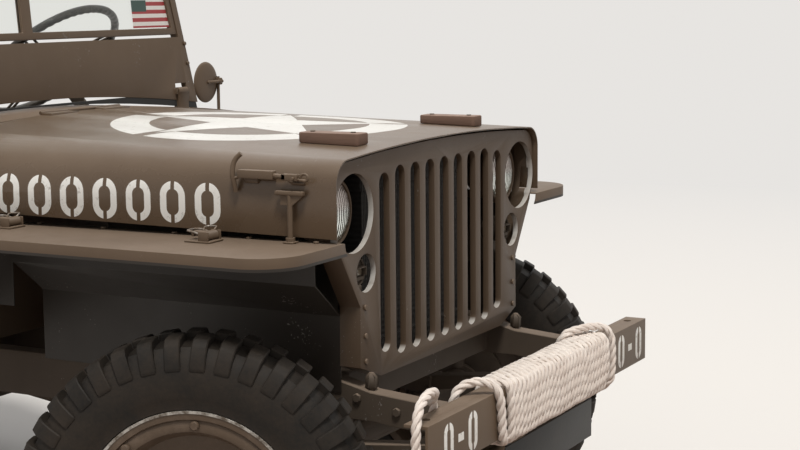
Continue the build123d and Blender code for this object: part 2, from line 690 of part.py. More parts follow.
apron = ((fender_in, fender_top - 1), (fender_in, 800), (rail_out, 725), (rail_out, 566),
         (rail_out + sheet, 566), (rail_out + sheet, 723), (fender_in + sheet, 798),
         (fender_in + sheet, fender_top - 1))
fender += flat_xz(apron, grille_back, 560)
side_strip = ((fender_in, fender_top - 1), (fender_in + sheet, fender_top - 1), (fender_in + sheet, 700),
              (fender_in, 700))
fender += flat_xz(side_strip, 560, firewall_y)
save("fenders", both(fender))

# Hood catches on the fender tops, and a T-handled rod beside each on the front corner
catch_x = 540
catch_ys = (0, 500)
t_rod_y = -169
t_rod_z = 983
catch_parts = []
for y in catch_ys:
    base = block(catch_x - 16, catch_x + 34, y - 30, y + 30, fender_top, fender_top + 5)
    base += along_x(catch_x - 10, catch_x + 28, y - 16, fender_top + 12, 8)
    base += block(catch_x + 2, catch_x + 16, y - 16, y + 26, fender_top + 12, fender_top + 22)
    catch_parts.append(base)
t_rod = rod((500, t_rod_y, fender_top), (500, t_rod_y, t_rod_z), 6)
t_rod += rod((500, t_rod_y - 32, t_rod_z), (500, t_rod_y + 32, t_rod_z), 7)
save("hood_catches", both(catch_parts[0] + catch_parts[1] + t_rod))

# Hood clamps: a rod with an upright grip on each side of the hood, near its front
clamp_y0 = -206
clamp_y1 = -44
clamp_z = 1016
clamp = rod((498, clamp_y0, clamp_z - 6), (498, clamp_y1, clamp_z + 2), 8)
clamp += rod((500, clamp_y1, clamp_z - 34), (500, clamp_y1, clamp_z + 40), 8)
for y in (clamp_y0 + 26, clamp_y1 - 30):
    clamp += block(470, 500, y - 14, y + 14, clamp_z - 18, clamp_z + 6)
save("hood_clamps", both(clamp) - hood_envelope)

# Engine, gearbox and transfer case as plain blocks at their real places
engine = block(-140, 140, 30, 560, 520, 950)
save("engine_block", engine)
gearbox = block(-110, 110, 560, 1000, 420, 660)
gearbox += block(-250, 80, 880, 1008, 400, 560)

# Propeller shafts from the transfer case to each axle's nose
shaft_z = 468
front_shaft = rod((diff_x, 150, tyre_r + 10), (diff_x, 900, shaft_z + 3), 26)
front_shaft -= block(-400, 0, 0, 171, 200, 700)
front_shaft -= block(-400, 0, 880, 1000, 200, 700)
rear_shaft = rod((diff_x, 990, shaft_z + 2), (diff_x, wheelbase - 150, tyre_r + 10), 26)
rear_shaft -= block(-400, 0, 900, 1008, 200, 700)
rear_shaft -= block(-400, 0, wheelbase - 171, wheelbase, 200, 700)
shafts = (front_shaft + rear_shaft) - front_axle - rear_axle - frame
save("driveline", gearbox + shafts)

# Exhaust: down pipe, silencer and tail pipe on a hanger
pipe_path = ((140, 500, 640), (255, 500, 640), (255, 560, 640), (255, 700, 450), (255, 1230, 450))
exhaust = bent_tube(pipe_path, 26, 20)
exhaust += rod((255, 1200, 450), (255, 1560, 450), 55)
exhaust += bent_tube(((255, 1560, 450), (255, 1720, 440), (300, 1800, 430)), 40, 18)
exhaust += block(250, 260, 1370, 1390, 500, front_floor)
exhaust -= frame
save("exhaust", exhaust)

# Steering column and its box on the left rail
column = rod(column_point(11.3), column_point(735), 17)
column += block(seat_x - 8, rail_out, 560, 668, rail_mid_top + 5, 650)
save("steering_column", column - frame)
steer_face = Rot(-(90 - column_angle), 0, 0)
steering = Torus(steer_wheel_r, 11) + Cylinder(34, 34)
for turn in (90, 210, 330):
    spoke = Rot(0, 0, turn) * (Pos(steer_wheel_r / 2 + 8, 0, 0) * Box(steer_wheel_r - 20, 16, 8))
    steering += spoke
steering -= Pos(0, 0, -28) * Cylinder(17.3, 34)
save("steering_wheel", Pos(seat_x, steer_wheel_y, steer_wheel_z) * steer_face * steering)

# Pedals and levers on the floor
levers = rod((40, 900, tunnel_top), (40, 1000, 1010), 8) + Pos(40, 1000, 1010) * Sphere(19)
for x, top in ((-20, 850), (-60, 830)):
    levers += rod((x, 930, tunnel_top), (x, 990, top), 7) + Pos(x, 990, top) * Sphere(14)
pedals = []
for x in (230, 285, 440):
    pedals.append(rod((x, firewall_y + sheet, 760), (x, 850, 735), 7)
                  + Pos(x, 850, 735) * (Rot(-60, 0, 0) * Box(42, 70, 8)))
save("floor_controls", (levers + pedals[0] + pedals[1] + pedals[2]) - cowl - floor)

# Fuel tank under the driver's seat
tank = block(150, 520, 1200, 1540, front_floor + tub_wall, 700)
tank = fillet(tank.edges().filter_by(Axis.Z), 30)
save("fuel_tank", tank)


def seat_frame(x, half, front_y, depth, foot_z, low_z, pan_z, back_top, lean):
    """A tubular seat: two side loops, cross tubes, a pan and a back rest plate."""
    tubes = None
    rear_y = front_y + depth
    for side in (1, -1):
        sx = x + side * (half - tube_r)
        loop = bent_tube(((sx, front_y, foot_z), (sx, front_y, pan_z - tube_r), (sx, rear_y, pan_z - tube_r),
                          (sx, rear_y + lean, back_top)), 60, tube_r)
        loop += rod((sx, rear_y - 70, low_z), (sx, rear_y - 70, pan_z - tube_r), tube_r)
        if foot_z > low_z:
            loop += Pos(sx, front_y, foot_z) * Sphere(knob_r)
        tubes = loop if tubes is None else tubes + loop
    for y, z in ((front_y + 80, pan_z - tube_r), (rear_y - 80, pan_z - tube_r), (rear_y + lean, back_top)):
        tubes += along_x(x - half + tube_r, x + half - tube_r, y, z, tube_r)
    tubes += block(x - half + tube_r, x + half - tube_r, front_y + 70, rear_y - 70,
                   pan_z - tube_r, pan_z - tube_r + 3)
    for side in (1, -1):
        tubes += Pos(x + side * (half - tube_r), rear_y + lean, back_top) * Sphere(knob_r)
    slope = lean / (back_top - pan_z)
    low = pan_z + 60
    y_low = rear_y + slope * 60
    back = ((y_low + 2, low), (rear_y + lean + 2, back_top), (rear_y + lean - 1, back_top), (y_low - 1, low))
    tubes += flat_yz(back, x - half + tube_r, x + half - tube_r)
    return tubes


def seat_pads(x, half, front_y, depth, pan_z, back_top, lean):
    """The seat cushion and the back rest pad in front of the frame's plate."""
    rear_y = front_y + depth
    pad = block(x - half + 14, x + half - 14, front_y + 24, rear_y - 40, pan_z + 0.6, pan_z + 72)
    pad = fillet(pad.edges(), 16)
    slope = lean / (back_top - pan_z)
    low = pan_z + 96
    high = back_top - 16
    y_low = rear_y + slope * (low - pan_z)
    y_high = rear_y + slope * (high - pan_z)
    back = flat_yz(((y_low - 1.4, low), (y_high - 1.4, high), (y_high - 52, high), (y_low - 52, low)),
                   x - half + 26, x + half - 26)
    back = fillet(back.edges(), 14)
    return pad, back


front_depth = 420
back_top = 1105
floor_top = front_floor + tub_wall
load_top = load_floor + tub_wall
for name, side, foot_z in (("driver", 1, floor_top), ("passenger", -1, floor_top + foot_rise)):
    frame_shape = seat_frame(side * seat_x, seat_half, seat_front_y, front_depth, foot_z,
                             floor_top, seat_pan_z, back_top, 60)
    pad, back = seat_pads(side * seat_x, seat_half, seat_front_y, front_depth, seat_pan_z, back_top, 60)
    save(f"{name}_seat_frame", frame_shape)
    save(f"{name}_seat_pads", pad + back)
bench_frame = seat_frame(0, bench_half, bench_front_y, 380, load_top + foot_rise, load_top, 790, 1150, 50)
pad, back = seat_pads(0, bench_half, bench_front_y, 380, 790, 1150, 50)
save("rear_seat_frame", bench_frame)
save("rear_seat_pads", pad + back)

# Windscreen: drawn upright over its pivot, then leaned back and trimmed to the cowl's crown
lean_back = (Pos(0, screen_pivot_y, screen_pivot_z) * Rot(-screen_lean, 0, 0)
             * Pos(0, -screen_pivot_y, -screen_pivot_z))
screen_y0 = screen_pivot_y
screen_y1 = screen_pivot_y + screen_depth


def screen_half(z):
    """Half width of the windscreen at a height, wider at its foot."""
    share = (z - screen_pivot_z) / (screen_top_z - screen_pivot_z)
    return screen_foot_half + (screen_top_half - screen_foot_half) * share


def screen_plate(z0, z1, inset, y0, y1, corner_r=0):
    """A tapered plate in the windscreen's own plane, drawn in from its sides."""
    a = screen_half(z0) - inset
    b = screen_half(z1) - inset
    return flat_xz(((-a, z0), (a, z0), (b, z1), (-b, z1)), y0, y1, corner_r)


def over_cowl(rise):
    """The space under a level that runs a little over the cowl's crown."""
    centre_z = cowl_crown_z - cowl_crown_r
    return rod((0, 700, centre_z), (0, 1100, centre_z), cowl_crown_r + rise)


outer = screen_plate(1030, screen_top_z, 0, screen_y0, screen_y1)
window = screen_plate(panel_top_z + 4, screen_top_z - screen_rail, screen_rail, screen_y0 - 1, screen_y1 + 1)
panel_back = screen_plate(1000, panel_top_z - 14, screen_rail, screen_y0 + 5, screen_y1 + 1)
hinge_x0 = 588
hinge_x1 = 632
notch = both(block(hinge_x0 - 3, hinge_x1 + 3, screen_y0 - 1, screen_y1 + 1, 1000, screen_pivot_z + 22))
screen_frame = lean_back * (outer - window - panel_back - notch) - over_cowl(22)
hinge_pin = both(along_x(hinge_x0 - 3, hinge_x1 + 3, screen_pivot_y, screen_pivot_z, 5))
screen_frame += hinge_pin + both(block(hinge_x0 - 9, hinge_x0 - 3, screen_pivot_y - 7, screen_pivot_y + 12,
                                       screen_pivot_z - 8, screen_pivot_z + 8))
screen_frame += both(block(hinge_x1 + 3, hinge_x1 + 9, screen_pivot_y - 7, screen_pivot_y + 12,
                           screen_pivot_z - 8, screen_pivot_z + 8))
save("windscreen_frame", screen_frame)

seal = lean_back * screen_plate(1000, 1100, 6, screen_y0 + 1, screen_y0 + 5) - over_cowl(5)
seal = seal & over_cowl(22)
seal = seal - lean_back * notch
save("windscreen_seal", seal)

glass_low = panel_top_z + 12
glass_high = screen_top_z - screen_rail
glass_rail = 18
glass_frame = screen_plate(glass_low, glass_high, screen_rail + 2, screen_y0 + 2, screen_y0 + 20)
pane_inset = screen_rail + 2 + glass_rail
panes = screen_plate(glass_low + glass_rail, glass_high - glass_rail, pane_inset, screen_y0, screen_y1)
panes -= block(-post_half, post_half, 0, 2000, 1000, 1800)
glass_frame -= panes
save("glass_frame", lean_back * glass_frame)
glass = screen_plate(glass_low + glass_rail, glass_high - glass_rail, pane_inset,
                     screen_y0 + 10, screen_y0 + 15)
glass -= block(-post_half, post_half, 0, 2000, 1000, 1800)
save("windscreen_glass", lean_back * glass)

# Windscreen hinges: a lug on the cowl round each pin
lug_foot = cowl_crown_z - hinge_x1 ** 2 / (2 * cowl_crown_r) - 2
lug = block(hinge_x0, hinge_x1, screen_pivot_y - 9, screen_pivot_y + 9, lug_foot, screen_pivot_z)
lug += along_x(hinge_x0, hinge_x1, screen_pivot_y, screen_pivot_z, 11)
lug -= along_x(hinge_x0 - 1, hinge_x1 + 1, screen_pivot_y, screen_pivot_z, 5.3)
cowl += both(lug)
save("cowl", cowl)

# Mirror: round, on a rod from the left side panel
mirror_x = 735
mirror_y = 880
mirror_z = 1122
mirror_r = 58
mirror_post_x = tub_half + 41
mirror_post_y = 872
mirror_path = ((tub_half, mirror_post_y, 940), (mirror_post_x, mirror_post_y, 940),
               (mirror_post_x, mirror_post_y, mirror_z + 10))
mirror_rod = bent_tube(mirror_path, 9, 5)
mirror_head = rod((mirror_x, mirror_y - 9, mirror_z), (mirror_x, mirror_y, mirror_z), mirror_r)
mirror_arm = rod((mirror_x, mirror_y - 9, mirror_z), (mirror_post_x, mirror_post_y, mirror_z), 6)
save("mirror", mirror_rod + mirror_head + mirror_arm)

# Rear end: bumperettes, tow hook, tail lamps, spare carrier and the fuel can
bumperette_wall = 12
bumperette_top = spare_z - tyre_r - 10
bumperette_low = bumperette_top - 48
bumperette_end = frame_end + 60
bumperette_in = rail_out - 181
bumperette = block(bumperette_in, rail_out, frame_end, bumperette_end, bumperette_low, bumperette_top)
bumperette -= block(bumperette_in + bumperette_wall, rail_out - bumperette_wall,
                    frame_end, bumperette_end - bumperette_wall, bumperette_low - 1, bumperette_top + 1)
save("bumperettes", both(bumperette))

hitch_y = frame_end + 95
hitch_z = 566
hitch_r = 21
pintle = block(-60, 60, frame_end, frame_end + 10, hitch_z - 36, hitch_z + 38)
pintle += rod((0, frame_end + 10, hitch_z), (0, hitch_y - 25, hitch_z), 20)
pintle += along_x(-14, 14, hitch_y, hitch_z, hitch_r + 15)
pintle -= along_x(-20, 20, hitch_y, hitch_z, hitch_r)
save("tow_hook", pintle)

tail_x = 696
tail_z = 760
tail_lamps = both(rod((tail_x, tub_rear_y + 6, tail_z), (tail_x, tub_rear_y + 44, tail_z), 36)
                  + block(tail_x - 12, tail_x + 12, tub_rear_y, tub_rear_y + 6, tail_z - 40, tail_z))
save("tail_lamps", tail_lamps)

carrier_end = spare_y + 6
carrier = block(spare_x - 90, spare_x + 90, tub_rear_y, tub_rear_y + 8, spare_z - 90, spare_z + 90)
carrier += rod((spare_x, tub_rear_y, spare_z), (spare_x, carrier_end, spare_z), 70)
carrier -= rod((spare_x, tub_rear_y + 12, spare_z), (spare_x, carrier_end + 1, spare_z), 58)
carrier += rod((spare_x, tub_rear_y + 8, spare_z), (spare_x, carrier_end + 36, spare_z), 40)

can_x = 400
can = block(can_x - 172, can_x + 172, can_y, can_y + 165, 640, 1080)
can = fillet(can.edges().filter_by(Axis.Y), 30)
can = fillet(can.edges().filter_by(Axis.Z), 20)
for step in (-50, 0, 50):
    can += bent_tube(((can_x - 80, can_y + 82 + step, 1075), (can_x - 80, can_y + 82 + step, 1112),
                      (can_x + 60, can_y + 82 + step, 1112), (can_x + 60, can_y + 82 + step, 1075)), 14, 9)
can += rod((can_x + 120, can_y + 82, 1070), (can_x + 120, can_y + 82, 1106), 28)
save("fuel_can", can)
tray = block(can_x - 182, can_x + 182, tub_rear_y, can_y + 176, 628, 640)
tray += block(can_x - 182, can_x + 182, can_y + 168, can_y + 176, 628, 700)
for x in (can_x - 182, can_x + 174):
    tray += block(x, x + 8, tub_rear_y, can_y + 176, 628, 700)
tray += block(can_x - 182, can_x + 182, tub_rear_y, tub_rear_y + 8, 628, 900)
save("rear_carriers", carrier + tray)

# Body handles along the tub's sides
handles = None
for y in (1840, 2480):
    grip = bent_tube(((tub_half, y - 90, 900), (tub_half + 41, y - 90, 900), (tub_half + 41, y + 90, 900),
                      (tub_half, y + 90, 900)), 20, 7)
    handles = grip if handles is None else handles + grip
save("tub_sides", tub_sides + both(handles))
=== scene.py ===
import json
from contextlib import contextmanager
from math import atan2, cos, pi, radians, sin

import bpy
from mathutils import Matrix, Vector

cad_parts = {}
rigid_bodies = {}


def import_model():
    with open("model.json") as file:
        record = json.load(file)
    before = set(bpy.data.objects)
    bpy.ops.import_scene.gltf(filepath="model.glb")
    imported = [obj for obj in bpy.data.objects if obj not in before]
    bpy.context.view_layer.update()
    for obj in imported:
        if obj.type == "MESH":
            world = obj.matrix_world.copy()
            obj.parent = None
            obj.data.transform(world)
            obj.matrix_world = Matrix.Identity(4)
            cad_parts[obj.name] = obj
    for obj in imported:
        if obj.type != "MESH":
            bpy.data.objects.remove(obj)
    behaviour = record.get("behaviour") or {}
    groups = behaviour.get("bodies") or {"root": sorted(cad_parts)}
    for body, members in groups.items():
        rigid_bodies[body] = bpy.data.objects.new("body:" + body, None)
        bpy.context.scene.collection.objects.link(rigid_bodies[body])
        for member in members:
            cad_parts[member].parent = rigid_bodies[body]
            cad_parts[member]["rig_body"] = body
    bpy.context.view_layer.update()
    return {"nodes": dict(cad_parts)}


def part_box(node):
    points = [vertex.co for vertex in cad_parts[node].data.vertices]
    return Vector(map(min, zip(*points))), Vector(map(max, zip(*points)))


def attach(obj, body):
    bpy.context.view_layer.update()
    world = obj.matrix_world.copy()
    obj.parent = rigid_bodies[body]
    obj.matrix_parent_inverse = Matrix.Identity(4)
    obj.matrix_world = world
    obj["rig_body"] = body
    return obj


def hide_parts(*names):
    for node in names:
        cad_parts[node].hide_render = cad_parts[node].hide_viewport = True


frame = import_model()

nodes = frame["nodes"]

# The yard: a pale floor with soft overcast light from above, and a camera that stands at the
# car's front right corner, a little above its fenders. Places are in mm, measured back from the
# front axle, and place() turns them into the car's own frame in metres.
middle_y = 1164.8


def place(x, y, z):
    """A point of the car, from mm across, back from the front axle and up."""
    return Vector((x, y - middle_y, z)) / 1000


def clear_selection():
    """Nothing selected and nothing active."""
    bpy.ops.object.select_all(action="DESELECT")
    bpy.context.view_layer.objects.active = None


def pick(piece):
    """Makes one object the only one selected."""
    clear_selection()
    piece.select_set(True)
    bpy.context.view_layer.objects.active = piece


@contextmanager
def editing(piece):
    """Edit mode on one object, with all of its mesh selected at first."""
    pick(piece)
    bpy.ops.object.mode_set(mode="EDIT")
    bpy.ops.mesh.select_all(action="SELECT")
    yield
    bpy.ops.object.mode_set(mode="OBJECT")


class Tone:
    """One value in a material's node tree: sums and products of it add their own nodes."""
    tree = None

    def __init__(self, socket):
        self.socket = socket

    @classmethod
    def node(cls, kind, settings, *, outlet=0, **inlets):
        """Adds a node: its settings come first, then its sockets' values or links."""
        made = cls.tree.nodes.new("ShaderNode" + kind)
        for key, value in settings.items():
            if key == "stops":
                elements = made.color_ramp.elements
                for i, (at, level) in enumerate(value):
                    stop = elements[i] if i < 2 else elements.new(at)
                    stop.position = at
                    stop.color = (level, level, level, 1)
            else:
                setattr(made, key, value)
        for key, value in inlets.items():
            numbered = key[0] == "n" and key[1:].isdigit()
            inlet = made.inputs[int(key[1:]) if numbered else key.replace("_", " ")]
            if isinstance(value, Tone):
                cls.tree.links.new(value.socket, inlet)
            else:
                inlet.default_value = value
        return cls(made.outputs[outlet])

    def maths(self, operation, other=0.0, third=0.0):
        return Tone.node("Math", {"operation": operation}, n0=self, n1=other, n2=third)

    def __add__(self, other):
        return self.maths("ADD", other)

    def __sub__(self, other):
        return self.maths("SUBTRACT", other)

    def __mul__(self, other):
        return self.maths("MULTIPLY", other)

    def __truediv__(self, other):
        return self.maths("DIVIDE", other)

    def __gt__(self, other):
        return self.maths("GREATER_THAN", other)

    def __lt__(self, other):
        return self.maths("LESS_THAN", other)

    def __rsub__(self, other):
        return Tone.node("Math", {"operation": "SUBTRACT"}, n0=other, n1=self)

    def __abs__(self):
        return self.maths("ABSOLUTE")

    __radd__ = __add__
    __rmul__ = __mul__


def coords():
    """A point on the piece, in the car's frame."""
    return Tone.node("TexCoord", {}, outlet=3)


def axes(point):
    """The three parts of a point or direction."""
    split = Tone.tree.nodes.new("ShaderNodeSeparateXYZ")
    Tone.tree.links.new(point.socket, split.inputs[0])
    return [Tone(outlet) for outlet in split.outputs]


def facing():
    """The three parts of the direction in which the surface faces."""
    return axes(Tone.node("NewGeometry", {}, outlet=1))


def any_of(masks):
    """One where any of the masks is one."""
    together = masks[0]
    for mask in masks[1:]:
        together = together.maths("MAXIMUM", mask)
    return together


def noise(scale, detail=4.0, rough=0.55, stretch=None):
    """Cloudy variation at a scale in patches a metre."""
    point = coords()
    if stretch:
        point = Tone.node("Mapping", {}, Vector=point, Scale=stretch)
    return Tone.node("TexNoise", {}, Vector=point, Scale=scale, Detail=detail, Roughness=rough)


def between(low, high, mask):
    """Two colours or two numbers mixed by a mask."""
    if isinstance(low, tuple) or isinstance(high, tuple):
        low = (*low, 1) if isinstance(low, tuple) else low
        high = (*high, 1) if isinstance(high, tuple) else high
        return Tone.node("Mix", {"data_type": "RGBA"}, outlet=2, n0=mask, n6=low, n7=high)
    return Tone.node("Mix", {"data_type": "FLOAT"}, outlet=0, n0=mask, n2=low, n3=high)


def ramp(value, *stops):
    """A value passed through a curve of stops."""
    return Tone.node("ValToRGB", {"stops": stops}, Fac=value)


def bumped(height, depth):
    """The surface's slope from a height, with its depth in metres."""
    return Tone.node("Bump", {}, Height=height, Distance=depth, Strength=1.0)


def material(name, slot="body_paint"):
    """A new material, ready for its Principled sockets, with the record's slot that it stands for."""
    made = bpy.data.materials.new(name)
    made["slot"] = slot
    made.use_nodes = True
    Tone.tree = made.node_tree
    return made


def surface(made, colour, rough, metal=0.0, normal=None, **others):
    """Sets the main shader's sockets: links where a value varies, plain numbers elsewhere."""
    shader = made.node_tree.nodes["Principled BSDF"]
    values = {"Base Color": colour, "Roughness": rough, "Metallic": metal, "Normal": normal}
    values.update({key.replace("_", " "): value for key, value in others.items()})
    for key, value in values.items():
        if isinstance(value, Tone):
            made.node_tree.links.new(value.socket, shader.inputs[key])
        elif value is not None:
            shader.inputs[key].default_value = (*value, 1) if isinstance(value, tuple) else value
    return made


def wear(piece, made):
    """Gives a piece its one material and that material's slot."""
    piece.data.materials.clear()
    piece.data.materials.append(made)


backdrop_tone = (0.80, 0.78, 0.755)
floor_seen = (0.72, 0.705, 0.69)
floor_lighting = (0.27, 0.20, 0.165)


def seen_direct():
    """One for the camera's own rays and for what gloss and glass show, nought for light."""
    rays = Tone.tree.nodes.new("ShaderNodeLightPath").outputs
    return any_of([Tone(rays[kind]) for kind in ("Is Camera Ray", "Is Glossy Ray", "Is Transmission Ray")])


floor_paint = material("pale_floor")
surface(floor_paint, between(floor_lighting, floor_seen, seen_direct()), 0.9)
far_x, far_y, _ = axes(coords())
far_off = ramp((far_x * far_x + far_y * far_y).maths("SQRT") / 20.0, (0.14, 0.0), (0.42, 1.0))
glow = Tone.node("Emission", {}, Color=(*backdrop_tone, 1), Strength=1.0)
lit = Tone(floor_paint.node_tree.nodes["Principled BSDF"].outputs[0])
floor_shown = Tone.node("MixShader", {}, n0=far_off * seen_direct(), n1=lit, n2=glow)
floor_paint.node_tree.links.new(floor_shown.socket, floor_paint.node_tree.nodes["Material Output"].inputs[0])
clear_selection()
bpy.ops.mesh.primitive_plane_add(size=80, location=(0, 0, 0))
floor = bpy.context.object
floor.name = "floor"
floor.data.materials.append(floor_paint)

world = bpy.data.worlds.new("overcast")
bpy.context.scene.world = world
world.use_nodes = True
Tone.tree = world.node_tree
sky = world.node_tree.nodes["Background"]
sky.inputs["Color"].default_value = (1.0, 0.975, 0.94, 1)
sky.inputs["Strength"].default_value = 0.46
shown = Tone.node("Background", {}, Color=(*backdrop_tone, 1), Strength=1.0)
both_skies = Tone.node("MixShader", {}, n0=seen_direct(), n1=Tone(sky.outputs[0]), n2=shown)
world.node_tree.links.new(both_skies.socket, world.node_tree.nodes["World Output"].inputs[0])

# name, direction it shines from, strength, width in degrees, colour
suns = (("high_sun", (-1.35, -1.0, 3.3), 2.5, 14, (1.0, 0.96, 0.90)),
        ("rear_sky", (1.8, 1.6, 2.6), 0.45, 60, (0.97, 0.98, 1.0)))
for name, spot, power, width, colour in suns:
    light = bpy.data.lights.new(name, "SUN")
    light.energy = power
    light.angle = radians(width)
    light.color = colour
    holder = bpy.data.objects.new(name, light)
    bpy.context.collection.objects.link(holder)
    holder.rotation_euler = Vector(spot).to_track_quat("Z", "Y").to_euler()

eye = bpy.data.cameras.new("corner_view")
eye.lens = 74.9
eye.sensor_width = 36
eye.clip_end = 200
camera = bpy.data.objects.new("corner_view", eye)
bpy.context.collection.objects.link(camera)
eye_spot = place(-3206.1, -1863.5, 1352.4)
right = Vector((0.47210, -0.88149, -0.00959))
up = Vector((0.12308, 0.05515, 0.99086))
look = Vector((0.87291, 0.46897, -0.13453))
turn = Matrix((right, up, -look)).transposed().to_4x4()
camera.matrix_world = Matrix.Translation(eye_spot) @ turn
bpy.context.scene.camera = camera
bpy.context.scene.view_settings.view_transform = "Standard"

# The paint: a thin brown-olive satin coat, sprayed over everything on the car. It has dulled in
# patches, gathered dust on what faces up, and rubbed through to grey metal in a few small chips.
olive = (0.099, 0.066, 0.041)
olive_faded = (0.131, 0.092, 0.061)
olive_dust = (0.28, 0.215, 0.165)
bare_metal = (0.20, 0.185, 0.17)
stencil_and_highlight_white = (0.86, 0.87, 0.85)
painted_shade_black = (0.020, 0.015, 0.011)
chip_limit = 0.735


def dusty_up(share, scale=3.0):
    """How much dust lies on a place: most where it faces up, broken by cloudy noise."""
    lies = ramp(facing()[2], (0.35, 0.0), (0.95, 1.0))
    clouds = ramp(noise(scale, 5.0, 0.6), (0.3, 0.35), (0.75, 1.0))
    return lies * clouds * share


def chips():
    """Small chips where fine noise peaks inside coarse noise."""
    fine = noise(160.0, 3.0, 0.6)
    coarse = noise(9.0, 2.0, 0.5)
    return ramp(fine * 0.6 + coarse * 0.5, (chip_limit - 0.015, 0.0), (chip_limit + 0.015, 1.0))


def sprayed(name, base, faded, dust_share=0.55, rough=0.46, marks=None, slot="body_paint", shade_mask=None):
    """Satin paint with fading, dust and chips, and, where it has them, white stencil marks, pale painted
    highlights and near-black painted shade.
    """
    made = material(name, slot)
    clouds = ramp(noise(2.6, 6.0, 0.6), (0.35, 0.0), (0.72, 1.0))
    streaks = noise(5.0, 4.0, 0.6, (6.0, 6.0, 0.7))
    colour = between(base, faded, clouds * 0.7 + streaks * 0.25)
    # White stencil marks, at the strength wear has left them, and on the grille pale painted highlights.
    if marks:
        white, mark_strength = marks()
        colour = between(colour, stencil_and_highlight_white, white * mark_strength)
    # Painted shade: near black where the shade mask is one.
    if shade_mask:
        colour = between(colour, painted_shade_black, shade_mask())
    dust = dusty_up(dust_share)
    colour = between(colour, olive_dust, dust)
    chipped = chips()
    colour = between(colour, bare_metal, chipped * 0.8)
    gloss = rough + noise(14.0, 4.0) * 0.14 + dust * 0.25
    grain = noise(520.0, 2.0, 0.5) * 0.5 + noise(34.0, 4.0, 0.6) * 0.5 - chipped * 0.6
    return surface(made, colour, gloss, 0.0, bumped(grain, 0.00035), Specular_IOR_Level=0.42)


body_paint = sprayed("body_paint", olive, olive_faded)
under_paint = sprayed("under_paint", (0.050, 0.037, 0.026), (0.085, 0.065, 0.048), 0.7, 0.62,
                      slot="chassis_paint")
crease = radians(32)


def soften(node, paint, edge, rounds=2):
    """A copy of a solid that stands for it, with its sharp edges rounded as real ones are."""
    source = nodes[node]
    piece = source.copy()
    piece.data = source.data.copy()
    piece.parent = None
    for key in list(piece.keys()):
        del piece[key]
    piece.name = node + "_finished"
    bpy.context.collection.objects.link(piece)
    with editing(piece):
        bpy.ops.mesh.remove_doubles(threshold=0.00002)
        bpy.ops.mesh.dissolve_limited(angle_limit=radians(0.8))
    bevel = piece.modifiers.new("round", "BEVEL")
    bevel.width = edge
    bevel.segments = rounds
    bevel.limit_method = "ANGLE"
    bevel.angle_limit = crease
    bevel.use_clamp_overlap = True
    bpy.ops.object.modifier_apply(modifier="round")
    bpy.ops.object.shade_smooth_by_angle(angle=crease)
    wear(piece, paint)
    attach(piece, source["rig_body"])
    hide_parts(node)
    return piece


def grouped(name, pieces):
    """Joins copies into one piece, named for what they are."""
    clear_selection()
    for piece in pieces:
        piece.select_set(True)
    bpy.context.view_layer.objects.active = pieces[0]
    if len(pieces) > 1:
        bpy.ops.object.join()
    pieces[0].name = name
    return pieces[0]


def copied(piece, move):
    """One more of a piece, with its own mesh, moved by a matrix."""
    twin = piece.copy()
    twin.data = piece.data.copy()
    twin.data.transform(move)
    bpy.context.collection.objects.link(twin)
    return twin


def fixed(piece, paint, body="chassis", smooth=35):
    """Finishes a new piece: its material, its shading and the body that it rides on."""
    pick(piece)
    bpy.ops.object.shade_smooth_by_angle(angle=radians(smooth))
    wear(piece, paint)
    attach(piece, body)
    return piece


# Bolts and screws: forged steel heads with chamfered edges, each kind modelled once at its size and
# copied to its places. Most are hexagons, from 11 mm wide on the mirror to 30 mm on the frame's horns.
def fastener(width, height, flats):
    """One head standing on the ground plane, pointing up."""
    clear_selection()
    bpy.ops.mesh.primitive_cylinder_add(vertices=flats, radius=width / 2, depth=height,
                                        location=(0, 0, height / 2), end_fill_type="NGON")
    head = bpy.context.object
    with editing(head):
        bpy.ops.mesh.bevel(offset=height * 0.22, segments=1)
    bpy.ops.object.transform_apply(location=True)
    return head


def studded(name, spots, width, height, flats=6):
    """Heads of one size at many places: each has a place and the way it faces."""
    head = fastener(width, height, flats)
    copies = []
    for spot, outward in spots:
        turned_to = Vector(outward).to_track_quat("Z", "Y").to_matrix().to_4x4()
        copies.append(copied(head, Matrix.Translation(spot) @ turned_to))
    bpy.data.objects.remove(head)
    return grouped(name, copies)


# Frame, cross members, axles, springs, shafts and steering under the car: forged and pressed
# steel, brush-painted dark, with the paint dulled by road dust.
for node in ("chassis_frame", "front_axle", "rear_axle", "leaf_springs", "knuckle_left",
             "knuckle_right", "tie_rod", "driveline", "fuel_tank", "steering_column"):
    soften(node, under_paint, 0.0015, rounds=1)
cast_iron = sprayed("cast_iron", (0.055, 0.052, 0.045), (0.09, 0.08, 0.066), 0.4, 0.7, slot="engine_iron")
soften("engine_block", cast_iron, 0.006)

rust_steel = material("rusted_pipe", "bare_steel")
rust = ramp(noise(24.0, 6.0, 0.65), (0.4, 0.0), (0.62, 1.0))
surface(rust_steel, between((0.11, 0.085, 0.065), (0.16, 0.075, 0.035), rust), 0.6 + rust * 0.25, 0.35,
        bumped(noise(300.0), 0.0003))
soften("exhaust", rust_steel, 0.001, rounds=1)

rail_face = 371
rail_spots = ((-430, 534), (-330, 540), (-240, 560), (-120, 586), (0, 580), (120, 574), (430, 540),
              (900, 525), (1300, 525), (1600, 525), (1830, 580), (2250, 580), (2500, 562))
frame_bolts = [(place(side * rail_face, y, z), (side, 0, 0)) for side in (1, -1) for y, z in rail_spots]
fixed(studded("frame_bolts", frame_bolts, 0.020, 0.007), under_paint)

